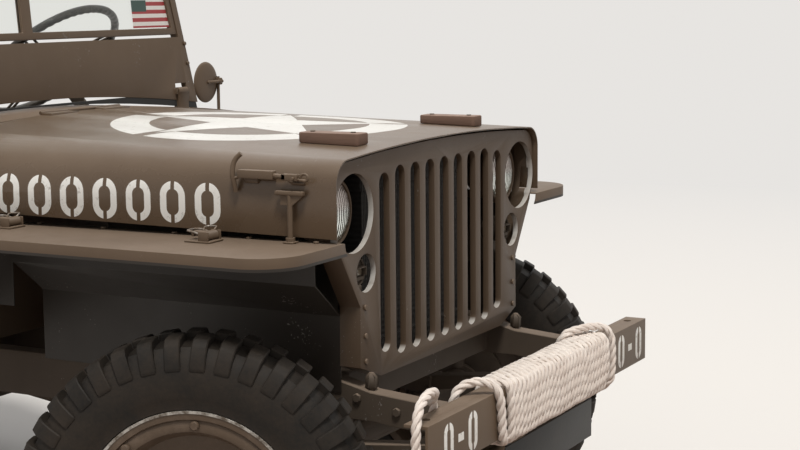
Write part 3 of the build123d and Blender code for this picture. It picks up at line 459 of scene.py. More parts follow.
# Tyres: cross-ply with bars that run from the middle of the tread over the shoulder, left and
# right bars half a pitch apart. Black rubber, greyed by dust in the grooves and on the wall.
tyre_r = 0.361
groove_r = 0.345
bar_count = 40
bar_width = 0.031
rubber = material("dusty_rubber", "tyre_rubber")
wall_dust = ramp(noise(11.0, 6.0, 0.65), (0.38, 0.0), (0.72, 1.0))
fine_dust = ramp(noise(140.0, 3.0, 0.6), (0.35, 0.0), (0.8, 1.0))
dirt = wall_dust * 0.36 + fine_dust * 0.16
rubber_grain = noise(420.0, 3.0) * 0.6 + noise(60.0, 4.0) * 0.4
surface(rubber, between((0.0072, 0.0060, 0.0049), (0.062, 0.047, 0.035), dirt), 0.60 + dirt * 0.3, 0.0,
        bumped(rubber_grain, 0.0004), Specular_IOR_Level=0.25)


def outlined(name, points):
    """A flat face with its corners pulled to given places, to be extruded or spun."""
    clear_selection()
    bpy.ops.mesh.primitive_circle_add(vertices=len(points), radius=0.1, fill_type="NGON")
    face = bpy.context.object
    face.name = name
    for corner, spot in zip(face.data.vertices, points):
        corner.co = spot
    return face


def turned(name, profile, steps=96):
    """A ring about the X axis, spun from its closed half section (x, r)."""
    ring = outlined(name, [(x, 0, r) for x, r in profile])
    with editing(ring):
        bpy.ops.mesh.delete(type="ONLY_FACE")
        bpy.ops.mesh.select_all(action="SELECT")
        bpy.ops.mesh.spin(steps=steps, angle=2 * pi, center=(0, 0, 0), axis=(1, 0, 0))
        bpy.ops.mesh.select_all(action="SELECT")
        bpy.ops.mesh.remove_doubles(threshold=0.00002)
        bpy.ops.mesh.normals_make_consistent(inside=False)
    return ring


def pushed(piece, move):
    """Extrudes a flat outline into a solid by a straight push."""
    with editing(piece):
        bpy.ops.mesh.extrude_region_move(TRANSFORM_OT_translate={"value": move})
        bpy.ops.mesh.select_all(action="SELECT")
        bpy.ops.mesh.normals_make_consistent(inside=False)
    return piece


left_wall = ((0.050, 0.2063), (0.056, 0.2063), (0.057, 0.219), (0.066, 0.222), (0.0665, 0.228),
             (0.073, 0.246), (0.0735, 0.2475), (0.0775, 0.268), (0.0772, 0.290), (0.0745, 0.304),
             (0.0675, 0.326), (0.054, 0.341), (0.030, groove_r))
right_wall = tuple((-x, r) for x, r in reversed(left_wall))
tread_middle = (0.0, groove_r + 0.001)
lining = ((-0.048, 0.212), (0.048, 0.212))
carcass = turned("carcass", (*left_wall, tread_middle, *right_wall, *lining), 120)
bar_side = ((0.004, groove_r - 0.004), (0.004, tyre_r - 0.0005), (0.030, tyre_r - 0.0008),
            (0.054, tyre_r - 0.003), (0.0665, 0.346), (0.0738, 0.328), (0.0795, 0.304), (0.0765, 0.297),
            (0.066, 0.318), (0.050, 0.335))
bar = pushed(outlined("tread_bar", [(x, -bar_width / 2, z) for x, z in bar_side]), (0, bar_width, 0))
with editing(bar):
    bpy.ops.mesh.bevel(offset=0.0022, segments=1)
pitch = 2 * pi / bar_count
bars = []
for step in range(bar_count):
    bars.append(copied(bar, Matrix.Rotation(pitch * step, 4, "X")))
    bars.append(copied(bar, Matrix.Rotation(pitch * (step + 0.5), 4, "X") @ Matrix.Rotation(pi, 4, "Z")))
bpy.data.objects.remove(bar)
tyre_pattern = grouped("tyre_pattern", [carcass] + bars)

# Wheels: two-piece steel rims held by a ring of bolts, on a dished disc with five studs and a
# hub cap. The rim's edge is bright: steel rubbed bare where tyre irons have worked, and a painted highlight.
rim_edge_bright = (0.42, 0.40, 0.37)
# Painted shade: the wheel paint runs from dark brown up to the body's olive, darker overall to stand for
# shade on the discs.
wheel_paint = material("wheel_paint", "wheel_paint")
clouds = noise(7.0, 5.0, 0.6)
wheel_colour = between((0.060, 0.040, 0.026), olive, clouds)
wheel_colour = between(wheel_colour, olive_dust, ramp(noise(18.0, 5.0, 0.65), (0.50, 0.0), (0.85, 0.35)))
surface(wheel_paint, wheel_colour, 0.5 + clouds * 0.2, 0.0, bumped(noise(300.0), 0.0003))
# Rubbed steel and painted highlight: the rim's edge is bright all round, dulled in scuffed patches.
worn_and_lit_edge = material("worn_and_lit_rim_edge", "wheel_paint")
scuffed = ramp(noise(45.0, 5.0, 0.7), (0.40, 0.0), (0.60, 1.0))
surface(worn_and_lit_edge, between(rim_edge_bright, (0.10, 0.08, 0.06), scuffed), 0.35 + scuffed * 0.3,
        0.6 - scuffed * 0.5, bumped(noise(200.0), 0.0004))

flange_r = 0.218
lip_section = ((0.0605, flange_r - 0.004), (0.0650, flange_r - 0.004), (0.0655, flange_r + 0.001),
               (0.0640, flange_r + 0.0022), (0.0610, flange_r + 0.0018))
bright_lip = turned("bright_lip", lip_section, 120)


def bolt_circle(count, radius, x, start):
    """Places and directions of bolts on a circle about the X axis."""
    spots = []
    for step in range(count):
        angle = radians(360 * step / count + start)
        spots.append(((x, radius * cos(angle), radius * sin(angle)), (1, 0, 0)))
    return spots


bolt_ring = turned("bolt_ring", ((0.046, 0.176), (0.056, 0.176), (0.0575, 0.180), (0.0575, 0.197),
                                 (0.052, 0.205), (0.046, 0.2045)), 96)
inner_cone = turned("inner_cone", ((0.020, 0.158), (0.047, 0.1765), (0.047, 0.1785), (0.018, 0.160)), 96)
rim_ring = grouped("rim_ring", [studded("rim_heads", bolt_circle(8, 0.190, 0.056, 10), 0.021, 0.011),
                                bolt_ring, inner_cone])
clear_selection()
bpy.ops.mesh.primitive_cylinder_add(vertices=48, radius=0.034, depth=0.052, location=(0.036, 0, 0),
                                    rotation=(0, pi / 2, 0), end_fill_type="NGON")
hub_cap = bpy.context.object
bpy.ops.object.transform_apply(location=True, rotation=True)
cap_bevel = hub_cap.modifiers.new("round", "BEVEL")
cap_bevel.width = 0.006
cap_bevel.segments = 3
bpy.ops.object.modifier_apply(modifier="round")
hub = grouped("hub", [studded("hub_nuts", bolt_circle(5, 0.070, 0.0115, 0), 0.021, 0.011), hub_cap])


def dressed_wheel(name, stand, body, middle):
    """One wheel on its stand: treaded tyre, painted rim, bolts and the rim's bright edge, rubbed steel with a
    painted highlight.
    """
    tread = fixed(copied(tyre_pattern, stand), rubber, body, 30)
    tread.name = "treaded_tyre_" + name
    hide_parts("tyre_" + name)
    soften("rim_" + name, wheel_paint, 0.001, rounds=1)
    fixed(grouped("wheel_bolts_" + name, [copied(part, stand) for part in middle]), wheel_paint, body)
    lip = fixed(copied(bright_lip, stand), worn_and_lit_edge, body)
    lip.name = "rim_edge_" + name


wheelbase = 2032
kingpin_x = 560
pin_to_wheel = 0.062
straight = Matrix()
steered = Matrix.Rotation(radians(21), 4, "Z")
# name, side, place back from the front axle, how the steering turns it
wheels = (("front_left", 1, 0, steered), ("front_right", -1, 0, steered),
          ("rear_left", 1, wheelbase, straight), ("rear_right", -1, wheelbase, straight))
for name, side, y, steering in wheels:
    outward = Matrix.Rotation(0 if side == 1 else pi, 4, "Z")
    pin = Matrix.Translation(place(side * kingpin_x, y, tyre_r * 1000)) @ steering
    stand = pin @ Matrix.Translation((side * pin_to_wheel, 0, 0)) @ outward
    rolled = stand @ Matrix.Rotation(radians(13 * side + y / 40), 4, "X")
    dressed_wheel(name, rolled, "wheel_" + name, (rim_ring, hub))
spare_stand = Matrix.Translation(place(-300, 2758, 885)) @ Matrix.Rotation(pi / 2, 4, "Z")
dressed_wheel("spare", spare_stand, "chassis", (rim_ring,))
for left_over in (tyre_pattern, rim_ring, hub, bright_lip):
    bpy.data.objects.remove(left_over)

# Front bumper: a pressed steel channel bolted to the frame horns, with a lifting hole near each
# end and a stencilled mark on each end of its face: two noughts with a dash between them.
stencil_z = 0.527
stencil_half = (0.020, 0.039)
stencil_stroke = 0.013
nought_middles = (0.415, 0.530, -0.388, -0.492)
dash_middles = (0.4725, -0.440)
dash_half = (0.012, 0.008)


def nought(along, height, centre, half, stroke, bridge=0.0035):
    """A stencilled nought: a rounded ring with a bridge at its top and bottom."""
    dx = abs(along - centre[0])
    dz = abs(height - centre[1])
    radius = half[0] * 0.98
    corner_x = (dx - (half[0] - radius)).maths("MAXIMUM", 0.0)
    corner_z = (dz - (half[1] - radius)).maths("MAXIMUM", 0.0)
    out = (corner_x * corner_x + corner_z * corner_z).maths("SQRT") - radius
    return (out < 0.0) * (out > -stroke) * (dx > bridge)


def bumper_marks():
    """White marks on the bumper's face."""
    x, _, z = axes(coords())
    noughts = [nought(x, z, (middle, stencil_z), stencil_half, stencil_stroke) for middle in nought_middles]
    level = abs(z - stencil_z) < dash_half[1]
    dashes = [(abs(x - middle) < dash_half[0]) * level for middle in dash_middles]
    mark_strength = ramp(noise(90.0, 4.0, 0.7), (0.30, 0.25), (0.42, 1.0))
    return any_of(noughts + dashes) * (facing()[1] < -0.8), mark_strength


soften("front_bumper", sprayed("bumper_paint", olive, olive_faded, 0.6, 0.5, bumper_marks), 0.003)
plate_black = material("plate_black", "plate_black")
plate_dust = dusty_up(0.4, 9.0) + ramp(noise(12.0), (0.5, 0.0), (0.8, 0.12))
surface(plate_black, between((0.010, 0.009, 0.0085), (0.09, 0.072, 0.058), plate_dust), 0.5, 0.0,
        bumped(noise(200.0), 0.0002), Specular_IOR_Level=0.3)
soften("number_plate", plate_black, 0.001)

# Rope: one length of pale three-strand rope, 20 mm thick, wound on the bumper as a fender. Each end
# is looped over the bumper, and the near one goes over it again and hangs past the bumper's end.
strand_r = 0.0048
strand_out = 0.0052
lay_length = 0.068
strand_count = 3
front_y = -505 - 9.7
back_y = -455 + 9.7
low_z = 480 - 9.7
high_z = 578 + 9.7
turn_pitch = 19.3
turn_count = 28
rope_start = 292
far_loop = ((322, -492, 462), (324, -512, 474), (325, -516, 500), (325, -516, 548), (323, -514, 586),
            (314, -500, 604), (282, -482, 609), (238, -464, 608), (212, -446, 602), (204, -434, 576),
            (206, -432, 532), (226, -432, 500), (260, -434, 478), (284, -450, 466), (295, -478, 464))
# back, up and the share of a turn that is done there
turn_corners = ((front_y, low_z + 9, 0.0), (front_y, high_z - 9, 0.22), (front_y + 9, high_z, 0.28),
                (back_y - 9, high_z, 0.42), (back_y, high_z - 9, 0.5), (back_y, low_z + 9, 0.72),
                (back_y - 9, low_z, 0.78), (front_y + 9, low_z, 0.94))
near_loops = ((-274, front_y - 1, low_z + 10), (-279, front_y - 1, 540), (-286, front_y, high_z - 6),
              (-297, -498, high_z + 14), (-315, -476, high_z + 18), (-333, -452, high_z + 10),
              (-344, back_y + 5, high_z - 12), (-350, back_y + 4, 530), (-364, back_y + 4, 500),
              (-388, back_y + 3, 488), (-412, back_y + 2, 500), (-428, back_y + 1, 540),
              (-444, back_y, high_z + 2), (-466, -462, high_z + 24), (-498, -478, high_z + 36),
              (-540, -486, high_z + 42), (-580, -490, high_z + 30), (-600, -493, 590), (-604, -493, 548),
              (-600, -490, 500), (-596, -488, 464))
route = [place(*spot) for spot in far_loop]
for turn_number in range(turn_count):
    for y, z, share in turn_corners:
        route.append(place(rope_start - turn_pitch * (turn_number + share), y, z))
route += [place(*spot) for spot in near_loops]


def drawn(name, lines, radius=0.0, sides=0, bends=None, closed=False, tall=0.0):
    """A bar or band along lines of places, as a mesh: straight between them, or bent in some steps."""
    curve = bpy.data.curves.new(name, "CURVE")
    curve.dimensions = "3D"
    curve.bevel_depth = radius
    curve.bevel_resolution = sides
    curve.extrude = tall
    curve.use_fill_caps = not closed
    curve.resolution_u = bends or 1
    for line in lines:
        run = curve.splines.new("NURBS" if bends else "POLY")
        run.points.add(len(line) - 1)
        for knot, spot in zip(run.points, line):
            knot.co = (*spot, 1)
        run.use_cyclic_u = closed
        if bends:
            run.order_u = 3
            run.use_endpoint_u = True
    holder = bpy.data.objects.new(name, curve)
    bpy.context.collection.objects.link(holder)
    pick(holder)
    bpy.ops.object.convert(target="MESH")
    return bpy.context.object


rope_line = drawn("rope_line", [route], bends=8)
rope_path = [vertex.co.copy() for vertex in rope_line.data.vertices]
bpy.data.objects.remove(rope_line)
twist = 0.0
sideways = Vector((1, 0, 0))
strands = [[] for _ in range(strand_count)]
for i, spot in enumerate(rope_path):
    ahead = (rope_path[min(i + 1, len(rope_path) - 1)] - rope_path[max(i - 1, 0)]).normalized()
    step = (spot - rope_path[i - 1]).length if i else 0.0
    twist += 2 * pi * step / lay_length
    sideways = (sideways - ahead * sideways.dot(ahead)).normalized()
    upward = ahead.cross(sideways)
    for number, strand in enumerate(strands):
        angle = twist + 2 * pi * number / strand_count
        strand.append(spot + (sideways * cos(angle) + upward * sin(angle)) * strand_out)
rope = drawn("bumper_rope_strands", strands, strand_r, 1)
rope_fibre = material("rope_fibre", "rope_fibre")
fibres = noise(900.0, 2.0, 0.6, (0.35, 1.0, 1.0))
grime = ramp(noise(22.0, 5.0, 0.6), (0.38, 0.0), (0.75, 1.0))
rope_colour = between((0.90, 0.84, 0.79), (0.50, 0.38, 0.31), grime * 0.30 + fibres * 0.22)
surface(rope_fibre, rope_colour, 0.9, 0.0, bumped(fibres, 0.0008), Sheen_Weight=0.25,
        Specular_IOR_Level=0.2)
fixed(rope, rope_fibre, "chassis", 60)
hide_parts("bumper_rope")
whipping = turned("rope_whipping", ((-0.009, 0.0088), (-0.009, 0.0112), (0.009, 0.0112), (0.009, 0.0088)), 24)
whipping_spot = place(-596, -488, 474)
whipping.data.transform(Matrix.Translation(whipping_spot) @ Matrix.Rotation(pi / 2, 4, "Y"))
fixed(whipping, rope_fibre)

# Tub, cowl and fenders: thin steel pressings welded along their edges, with rolled rims, and the
# grille panel bolted between the fenders. Their edges are rounded as the press leaves them.
lamp_x = 395.5
lamp_z = 936
marker_x = 349
marker_z = 811
# across, up and radius of the round holes
lamp_holes = ((lamp_x, lamp_z, 79), (marker_x, marker_z, 39))
lip_width = 0.004


def grille_lips():
    """Painted highlights on the rolled lips of the slots and lamp holes: the paint made pale where they face
    the light.
    """
    x, y, z = axes(coords())
    nx, _, nz = facing()
    rings = []
    for hole_x, hole_z, hole_r in lamp_holes:
        dx = abs(x) - hole_x / 1000
        dz = z - hole_z / 1000
        rings.append(abs((dx * dx + dz * dz).maths("SQRT") - hole_r / 1000) < lip_width)
    front = (y < place(0, -236, 0).y) * (z < 1.02) * (abs(x) < 0.475)
    # Painted highlight: strongest on lips that face up and on lamp-hole walls that face the light's side.
    lit = ramp(nz.maths("MAXIMUM", nx * any_of(rings) * -0.85), (0.35, 0.0), (0.8, 1.0))
    return lit * front, 0.34 + noise(60.0) * 0.25


def under_coat():
    """Painted shade, near black, on what faces down and on the fenders' inner sides and aprons below their
    tops.
    """
    x, _, z = axes(coords())
    return any_of([facing()[2] < -0.3, (abs(x) < 0.73) * (z < 0.866)])


# The fenders' paint carries painted shade inside and under them.
fender_paint = sprayed("fender_paint", olive, olive_faded, shade_mask=under_coat)
# Painted shade: the grille's paint is a darker copy of the body's olive, standing for shade on the grille
# face.
grille_shaded_paint = sprayed("grille_shaded_paint", (0.076, 0.050, 0.031), (0.100, 0.070, 0.047), 0.4, marks=grille_lips)
soften("grille", grille_shaded_paint, 0.0014)
soften("fenders", fender_paint, 0.0014)
for node, edge in (("cowl", 0.0016), ("dash_panel", 0.0015), ("tub_floor", 0.0012), ("tub_sides", 0.0018),
                   ("wheel_houses", 0.0015), ("rear_panel", 0.0018), ("tool_lid_left", 0.0014),
                   ("tool_lid_right", 0.0014), ("bumperettes", 0.002), ("rear_carriers", 0.0015)):
    soften(node, body_paint, edge)
soften("tow_hook", under_paint, 0.003)

tub_side = 745
upright_rows = [(780, z) for z in (600, 700, 800, 900)] + [(2620, z) for z in (660, 760, 860)]
low_row = [(y, 590) for y in range(860, 1600, 105)]
top_row = [(y, 955) for y in (1690, 1790, 1990, 2090, 2190, 2290, 2590)]
rear_spots = ((720, 640), (720, 740), (720, 860), (640, 955), (560, 955))
body_bolts = []
for side in (1, -1):
    body_bolts += [(place(side * tub_side, y, z), (side, 0, 0)) for y, z in upright_rows + low_row + top_row]
    body_bolts += [(place(side * x, 2654, z), (0, 1, 0)) for x, z in rear_spots]
    body_bolts += [(place(side * 480, y, 886), (0, 0, 1)) for y in (-215, -60, 120, 300, 470)]
    body_bolts += [(place(side * 356, -251, z), (0, -1, 0)) for z in (632, 684, 742)]
fixed(studded("body_bolts", body_bolts, 0.013, 0.004), body_paint)
horn_bolts = [(place(side * 352, -262, 572), (0, 0, 1)) for side in (1, -1)]
fixed(studded("horn_bolts", horn_bolts, 0.030, 0.038), under_paint)

# Radiator: a core of upright fins between two soldered tanks, all black, seen through the slots.
core_black = material("radiator_core", "chassis_paint")
fin_pitch = 0.0075
tube_pitch = 0.012
core_x, _, core_z = axes(coords())
fin = (core_x * (2 * pi / fin_pitch)).maths("SINE")
tube_row = (core_z * (2 * pi / tube_pitch)).maths("SINE")
fin_edges = ramp(fin, (0.2, 0.0), (0.9, 0.8)) * 0.7 + tube_row * 0.1
surface(core_black, between((0.010, 0.009, 0.008), (0.05, 0.042, 0.034), fin_edges), 0.6, 0.0,
        bumped(fin + tube_row * 0.4, 0.0015))
soften("radiator", core_black, 0.004)

# Hood: one crowned steel sheet, hinged on the cowl and sprayed with the body. Its top carries a
# white star in a ring broken at the star's points, and each side a row of stencilled noughts.
star_spot = place(-10, 214, 0)
star_r = 0.292
ring_in_r = 0.250
ring_out_r = 0.337
ring_break = 0.017
# the corner between two arms, aside from one arm's line and along it, as shares of the star's radius
inner_corner = (0.2245, 0.309)
row_start = place(0, 28, 0).y
row_pitch = 0.083
row_count = 7
row_z = 0.9525
digit_half = (0.030, 0.042)
digit_stroke = 0.0155
digit_bridge = 0.0045


def hood_marks():
    """The star, its ring and the row of noughts."""
    x, y, z = axes(coords())
    nx, _, nz = facing()
    dx = x - star_spot.x
    dy = y - star_spot.y
    reach = (dx * dx + dy * dy).maths("SQRT")
    turn = dx.maths("ARCTAN2", dy).maths("WRAP", pi / 5, -pi / 5)
    along = reach * turn.maths("COSINE")
    aside = abs(reach * turn.maths("SINE"))
    star = aside * (1 - inner_corner[1]) + along * inner_corner[0] < inner_corner[0] * star_r
    ring = (reach > ring_in_r) * (reach < ring_out_r) * (aside > ring_break)
    on_top = any_of([star, ring]) * (nz > 0.6)
    row = y - row_start
    step = row.maths("WRAP", row_pitch / 2, -row_pitch / 2)
    in_row = (row > -row_pitch / 2) * (row < row_pitch * (row_count - 0.5)) * (abs(nx) > 0.6)
    digits = nought(step, z, (0.0, row_z), digit_half, digit_stroke, digit_bridge) * in_row
    mark_strength = ramp(noise(70.0, 5.0, 0.7), (0.28, 0.45), (0.42, 1.0))
    return any_of([on_top, digits]), mark_strength


hood_paint = sprayed("hood_paint", olive, olive_faded, 0.35, 0.20, hood_marks)
soften("hood", hood_paint, 0.0012)

# Bearers: two blocks of beech, screwed to the hood for the folded windscreen to lie on. The
# varnish is gone and the wood is brown with dust and oil, its grain running along the block.
bearer_wood = material("bearer_wood", "wood")
streak = noise(70.0, 5.0, 0.7, (1.0, 0.05, 1.0))
blotch = noise(16.0, 4.0, 0.6)
wood_colour = between((0.085, 0.048, 0.034), (0.22, 0.135, 0.10), streak * 0.7 + blotch * 0.3)
wood_colour = between(wood_colour, (0.42, 0.31, 0.26), dusty_up(0.75, 14.0))
surface(bearer_wood, wood_colour, 0.75 + streak * 0.15, 0.0, bumped(streak + blotch * 0.3, 0.0012))
soften("hood_blocks", bearer_wood, 0.003)
bearer_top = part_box("hood_blocks")[1][2] * 1000
bearer_screws = [(place(side * 270, y, bearer_top), (0, 0, 1)) for side in (1, -1) for y in (-180, -84)]
fixed(studded("bearer_screws", bearer_screws, 0.011, 0.0022, 12), under_paint, "hood")


# Hood clamps: on each side a square tube with a screw, a fork and a spring hook at its front end,
# and a bent bar to pull at its rear end. All are forged or drawn steel under the body's paint.
def bent(name, points, radius, straight=False, sides=3, stand=None):
    """A round bar bent along a line, closed at its ends: places in mm, or in metres on a stand."""
    line = [stand @ Vector(spot) if stand else place(*spot) for spot in points]
    return drawn(name, [line], radius, sides, None if straight else 6)


def slab(name, low, high, edge=0.0015, rounds=2):
    """A block between two corners in mm, with its edges rounded."""
    low, high = place(*low), place(*high)
    clear_selection()
    bpy.ops.mesh.primitive_cube_add(size=1, location=(low + high) / 2)
    block = bpy.context.object
    block.name = name
    block.scale = high - low
    bpy.ops.object.transform_apply(location=True, rotation=True, scale=True)
    with editing(block):
        bpy.ops.mesh.bevel(offset=edge, segments=rounds, affect="EDGES")
    return block


def both_sides(piece):
    """The piece and its mirror image on the car's other side, as one."""
    twin = copied(piece, Matrix.Scale(-1, 4, Vector((1, 0, 0))))
    twin.data.flip_normals()
    return grouped(piece.name, [piece, twin])


hook = ((500, -176, 1012), (500, -196, 1009), (500, -207, 1008), (500, -212, 1014), (500, -208, 1021),
        (500, -198, 1022), (500, -194, 1016))
grip = ((499, -44, 981), (503, -43, 998), (506, -41, 1016), (503, -41, 1034), (499, -46, 1048),
        (496, -56, 1056))
clamp_parts = [slab("clamp_tube", (490, -134, 1008.5), (507, -52, 1025.5), 0.002),
               slab("clamp_fork", (493, -190, 1008), (498, -154, 1021), 0.0015),
               slab("clamp_fork", (503, -190, 1008), (508, -154, 1021), 0.0015),
               slab("clamp_fork", (493, -164, 1009), (508, -154, 1021), 0.0015),
               slab("clamp_saddle", (482, -92, 998), (494, -60, 1012), 0.003),
               slab("clamp_saddle", (476, -196, 998), (494, -166, 1010), 0.003),
               bent("clamp_screw", ((499, -160, 1014), (499, -130, 1016)), 0.0052),
               bent("clamp_pin", ((488, -182, 1013), (514, -182, 1013)), 0.003),
               bent("clamp_hook", hook, 0.0026),
               bent("clamp_hook", ((496, -165, 1006), (496, -184, 1001), (496, -200, 1003)), 0.0022),
               bent("clamp_grip", grip, 0.0052),
               bent("clamp_grip", ((499, -50, 1009), (509, -42, 1009), (506, -38, 1013)), 0.003)]
hood_clamp_bars = fixed(both_sides(grouped("hood_clamp_bars", clamp_parts)), body_paint, "hood")
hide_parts("hood_clamps")

# Fender-top fittings: two sprung catches that hold the hood's edge and a T-headed stay with sheet
# gussets, all bolted to the fender. The catches' wire is rubbed to bright steel by use.
rubbed_steel = material("rubbed_steel", "bare_steel")
rubbed = ramp(noise(60.0, 5.0, 0.7), (0.40, 0.0), (0.58, 1.0))
surface(rubbed_steel, between((0.36, 0.33, 0.30), olive_faded, rubbed), 0.36 + rubbed * 0.2,
        0.7 - rubbed * 0.7, bumped(noise(220.0), 0.0003))
fender_top = 886
catch_places = (0, 500)
stay_y = -169
gusset_thick = 0.002
coil_r = 0.0078
coil_out_r = 0.0098
coil_step = 0.0038
coil_end = 5 * coil_step
coil = [(-coil_end, 0.0052)]
for number in range(10):
    coil += [(-coil_end + number * coil_step, coil_r), (-coil_end + (number + 0.5) * coil_step, coil_out_r)]
coil += [(coil_end, coil_r), (coil_end, 0.0052)]
catch_parts = []
bail_parts = []
for y in catch_places:
    barrel = turned("catch_spring", coil, 24)
    barrel.data.transform(Matrix.Translation(place(549, y - 14, 899)))
    catch_parts += [slab("catch_base", (524, y - 30, fender_top), (574, y + 30, 890), 0.0018),
                    slab("catch_ear", (526, y - 26, 889), (529, y - 2, 908), 0.001),
                    slab("catch_ear", (569, y - 26, 889), (572, y - 2, 908), 0.001), barrel,
                    slab("catch_lever", (540, y - 12, 903), (558, y + 22, 907), 0.0015),
                    slab("catch_lever", (541, y + 18, 896), (557, y + 24, 906), 0.0015)]
    bail = ((531, y - 14, 899), (531, y + 10, 907), (531, y + 26, 908), (540, y + 30, 908),
            (558, y + 30, 908), (567, y + 26, 908), (567, y + 10, 907), (567, y - 14, 899))
    loop = ((538, y - 12, 903), (530, y - 16, 912), (520, y - 12, 914), (519, y, 913), (521, y + 10, 913),
            (531, y + 12, 911), (540, y + 6, 906))
    bail_parts += [bent("catch_bail", bail, 0.0021), bent("catch_loop", loop, 0.0017)]
gusset = outlined("stay_gusset", [place(500, y, z) for y, z in ((-173, 979), (-199, 979), (-173, 958))])
plate_corners = ((-147, 979), (-165, 979), (-165, 960), (-147, 960))
plate = outlined("stay_plate", [place(498, y, z) for y, z in plate_corners])
for sheet in (gusset, plate):
    pushed(sheet, (gusset_thick, 0, 0))
catch_parts += [bent("stay_post", ((500, stay_y, fender_top), (500, stay_y, 984)), 0.0055),
                slab("stay_head", (494, stay_y - 32, 979), (506, stay_y + 32, 988), 0.0025), gusset, plate,
                slab("stay_foot", (489, stay_y - 12, fender_top), (511, stay_y + 12, 890), 0.0018),
                bent("stay_nut", ((500, stay_y, 889), (500, stay_y, 897)), 0.0095)]
fender_fittings = fixed(both_sides(grouped("fender_fittings", catch_parts)), body_paint)
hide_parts("hood_catches")
fixed(both_sides(grouped("catch_bails", bail_parts)), rubbed_steel)

# Head lamps: sealed glass in a painted bowl, hung from the grille's top and set back in its hole.
# The marker lamps under them are steel cups with a hooded, slotted front over a small lens.
lamp_paint = sprayed("lamp_paint", olive, olive_faded, 0.3, 0.4)
mirror_silver = material("mirror_silver", "lamp_glass")
haze = noise(40.0, 4.0, 0.6)
surface(mirror_silver, between((0.80, 0.82, 0.80), (0.62, 0.62, 0.58), haze), 0.10 + haze * 0.12, 1.0)
lens_glass = material("ribbed_lens", "lamp_glass")
rib_pitch = 0.0085
wave_pitch = 0.022
lens_x, _, lens_z = axes(coords())
ribs = (lens_x * (2 * pi / rib_pitch)).maths("SINE") + (lens_z * (2 * pi / wave_pitch)).maths("SINE") * 0.35
# Painted reflection: low on the lens it is more like a mirror and green-white, at its top less so and pinker.
lens_painted_reflection = ramp(lens_z, (0.915, 0.85), (0.955, 0.30))
lens_reflection_tint = between((0.93, 0.98, 0.94), (0.95, 0.88, 0.84), ramp(lens_z, (0.93, 0.0), (0.95, 1.0)))
surface(lens_glass, lens_reflection_tint, 0.10 + noise(60.0) * 0.06, lens_painted_reflection, bumped(ribs, 0.0009),
        Transmission_Weight=0.5, IOR=1.48)
dark_glass = material("marker_glass", "lamp_glass")
surface(dark_glass, between((0.16, 0.15, 0.12), (0.30, 0.26, 0.20), noise(50.0)), 0.12, 0.0,
        bumped(noise(80.0), 0.0006), Coat_Weight=0.6)
to_front = Matrix.Rotation(-pi / 2, 4, "Z")


def spun(name, profile, x, y, z, steps=64, outward=to_front):
    """A ring spun from its half section (forward, out), facing the car's front at a place in mm."""
    ring = turned(name, [(a / 1000, b / 1000) for a, b in profile], steps)
    ring.data.transform(Matrix.Translation(place(x, y, z)) @ outward)
    return ring


lamp_y = -207
marker_y = -239
bowl_section = ((-86, 0.4), (-84, 22), (-76, 42), (-58, 58), (-30, 66), (-12, 67), (-12, 64), (-30, 63),
                (-56, 55), (-73, 40), (-81, 21), (-83, 0.4))
rim_section = ((-16, 65), (-16, 70.4), (-12, 71), (-4, 71), (0, 69), (1.6, 66), (0.5, 63.5), (-3, 63))
dish_section = ((-60, 0.5), (-57, 18), (-48, 36), (-32, 52), (-8, 63.2), (-6, 63.2), (-6, 64), (-10, 64),
                (-34, 53.5), (-50, 37), (-59, 18.5), (-62, 0.5))
lens_section = ((11.5, 0.5), (10.3, 20), (6.6, 40), (0.5, 58), (-4, 63.0), (-7, 63.0), (-3.2, 57), (3.2, 38),
                (6.6, 19), (7.8, 0.5))
bulb_section = ((-34, 0.4), (-34, 9), (-20, 9), (-18, 7), (-17.5, 0.4))
cup_section = ((-58, 0.4), (-56, 22), (-46, 29), (-14, 30), (-9, 30.5), (-7, 29), (-8, 26), (-12, 25),
               (-12, 0.4))
for side, hand in ((1, "left"), (-1, "right")):
    x = side * lamp_x
    bowl = spun("bowl", bowl_section, x, lamp_y, lamp_z)
    rim = spun("lamp_rim", rim_section, x, lamp_y, lamp_z)
    strap = slab("lamp_strap", (x - 15, lamp_y - 2, 1000), (x + 15, lamp_y + 2, 1039), 0.001)
    housing = fixed(grouped("head_lamp_" + hand, [bowl, rim, strap]), lamp_paint)
    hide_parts("front_lamps")
    dish = spun("reflector_" + hand, dish_section, x, lamp_y, lamp_z)
    fixed(dish, mirror_silver, smooth=60)
    lens = spun("lens_" + hand, lens_section, x, lamp_y, lamp_z, 96)
    fixed(lens, lens_glass, smooth=60)
    bulb_cap = spun("bulb_cap_" + hand, bulb_section, x, lamp_y, lamp_z, 24)
    fixed(bulb_cap, mirror_silver)
    x = side * marker_x
    marker_parts = [spun("marker_cup", cup_section, x, marker_y, marker_z, 48),
                    slab("marker_hood", (x - 20, -241, 819), (x + 20, -226, 822), 0.001),
                    slab("marker_hood", (x - 20, -241, 804), (x - 18, -226, 822), 0.0008),
                    slab("marker_hood", (x + 18, -241, 804), (x + 20, -226, 822), 0.0008),
                    slab("marker_hood", (x - 20, -234, 794), (x + 20, -226, 801), 0.001),
                    slab("marker_arm", (x - 8, -236, 772), (x + 8, -232, 784), 0.001)]
    # Painted shade: the marker cups and hoods take the dark chassis paint, standing for the shade in their
    # recesses.
    fixed(grouped("marker_lamp_" + hand, marker_parts), under_paint)
    fixed(slab("marker_lens_" + hand, (x - 17, -231, 804), (x + 17, -226.5, 818), 0.001), dark_glass)

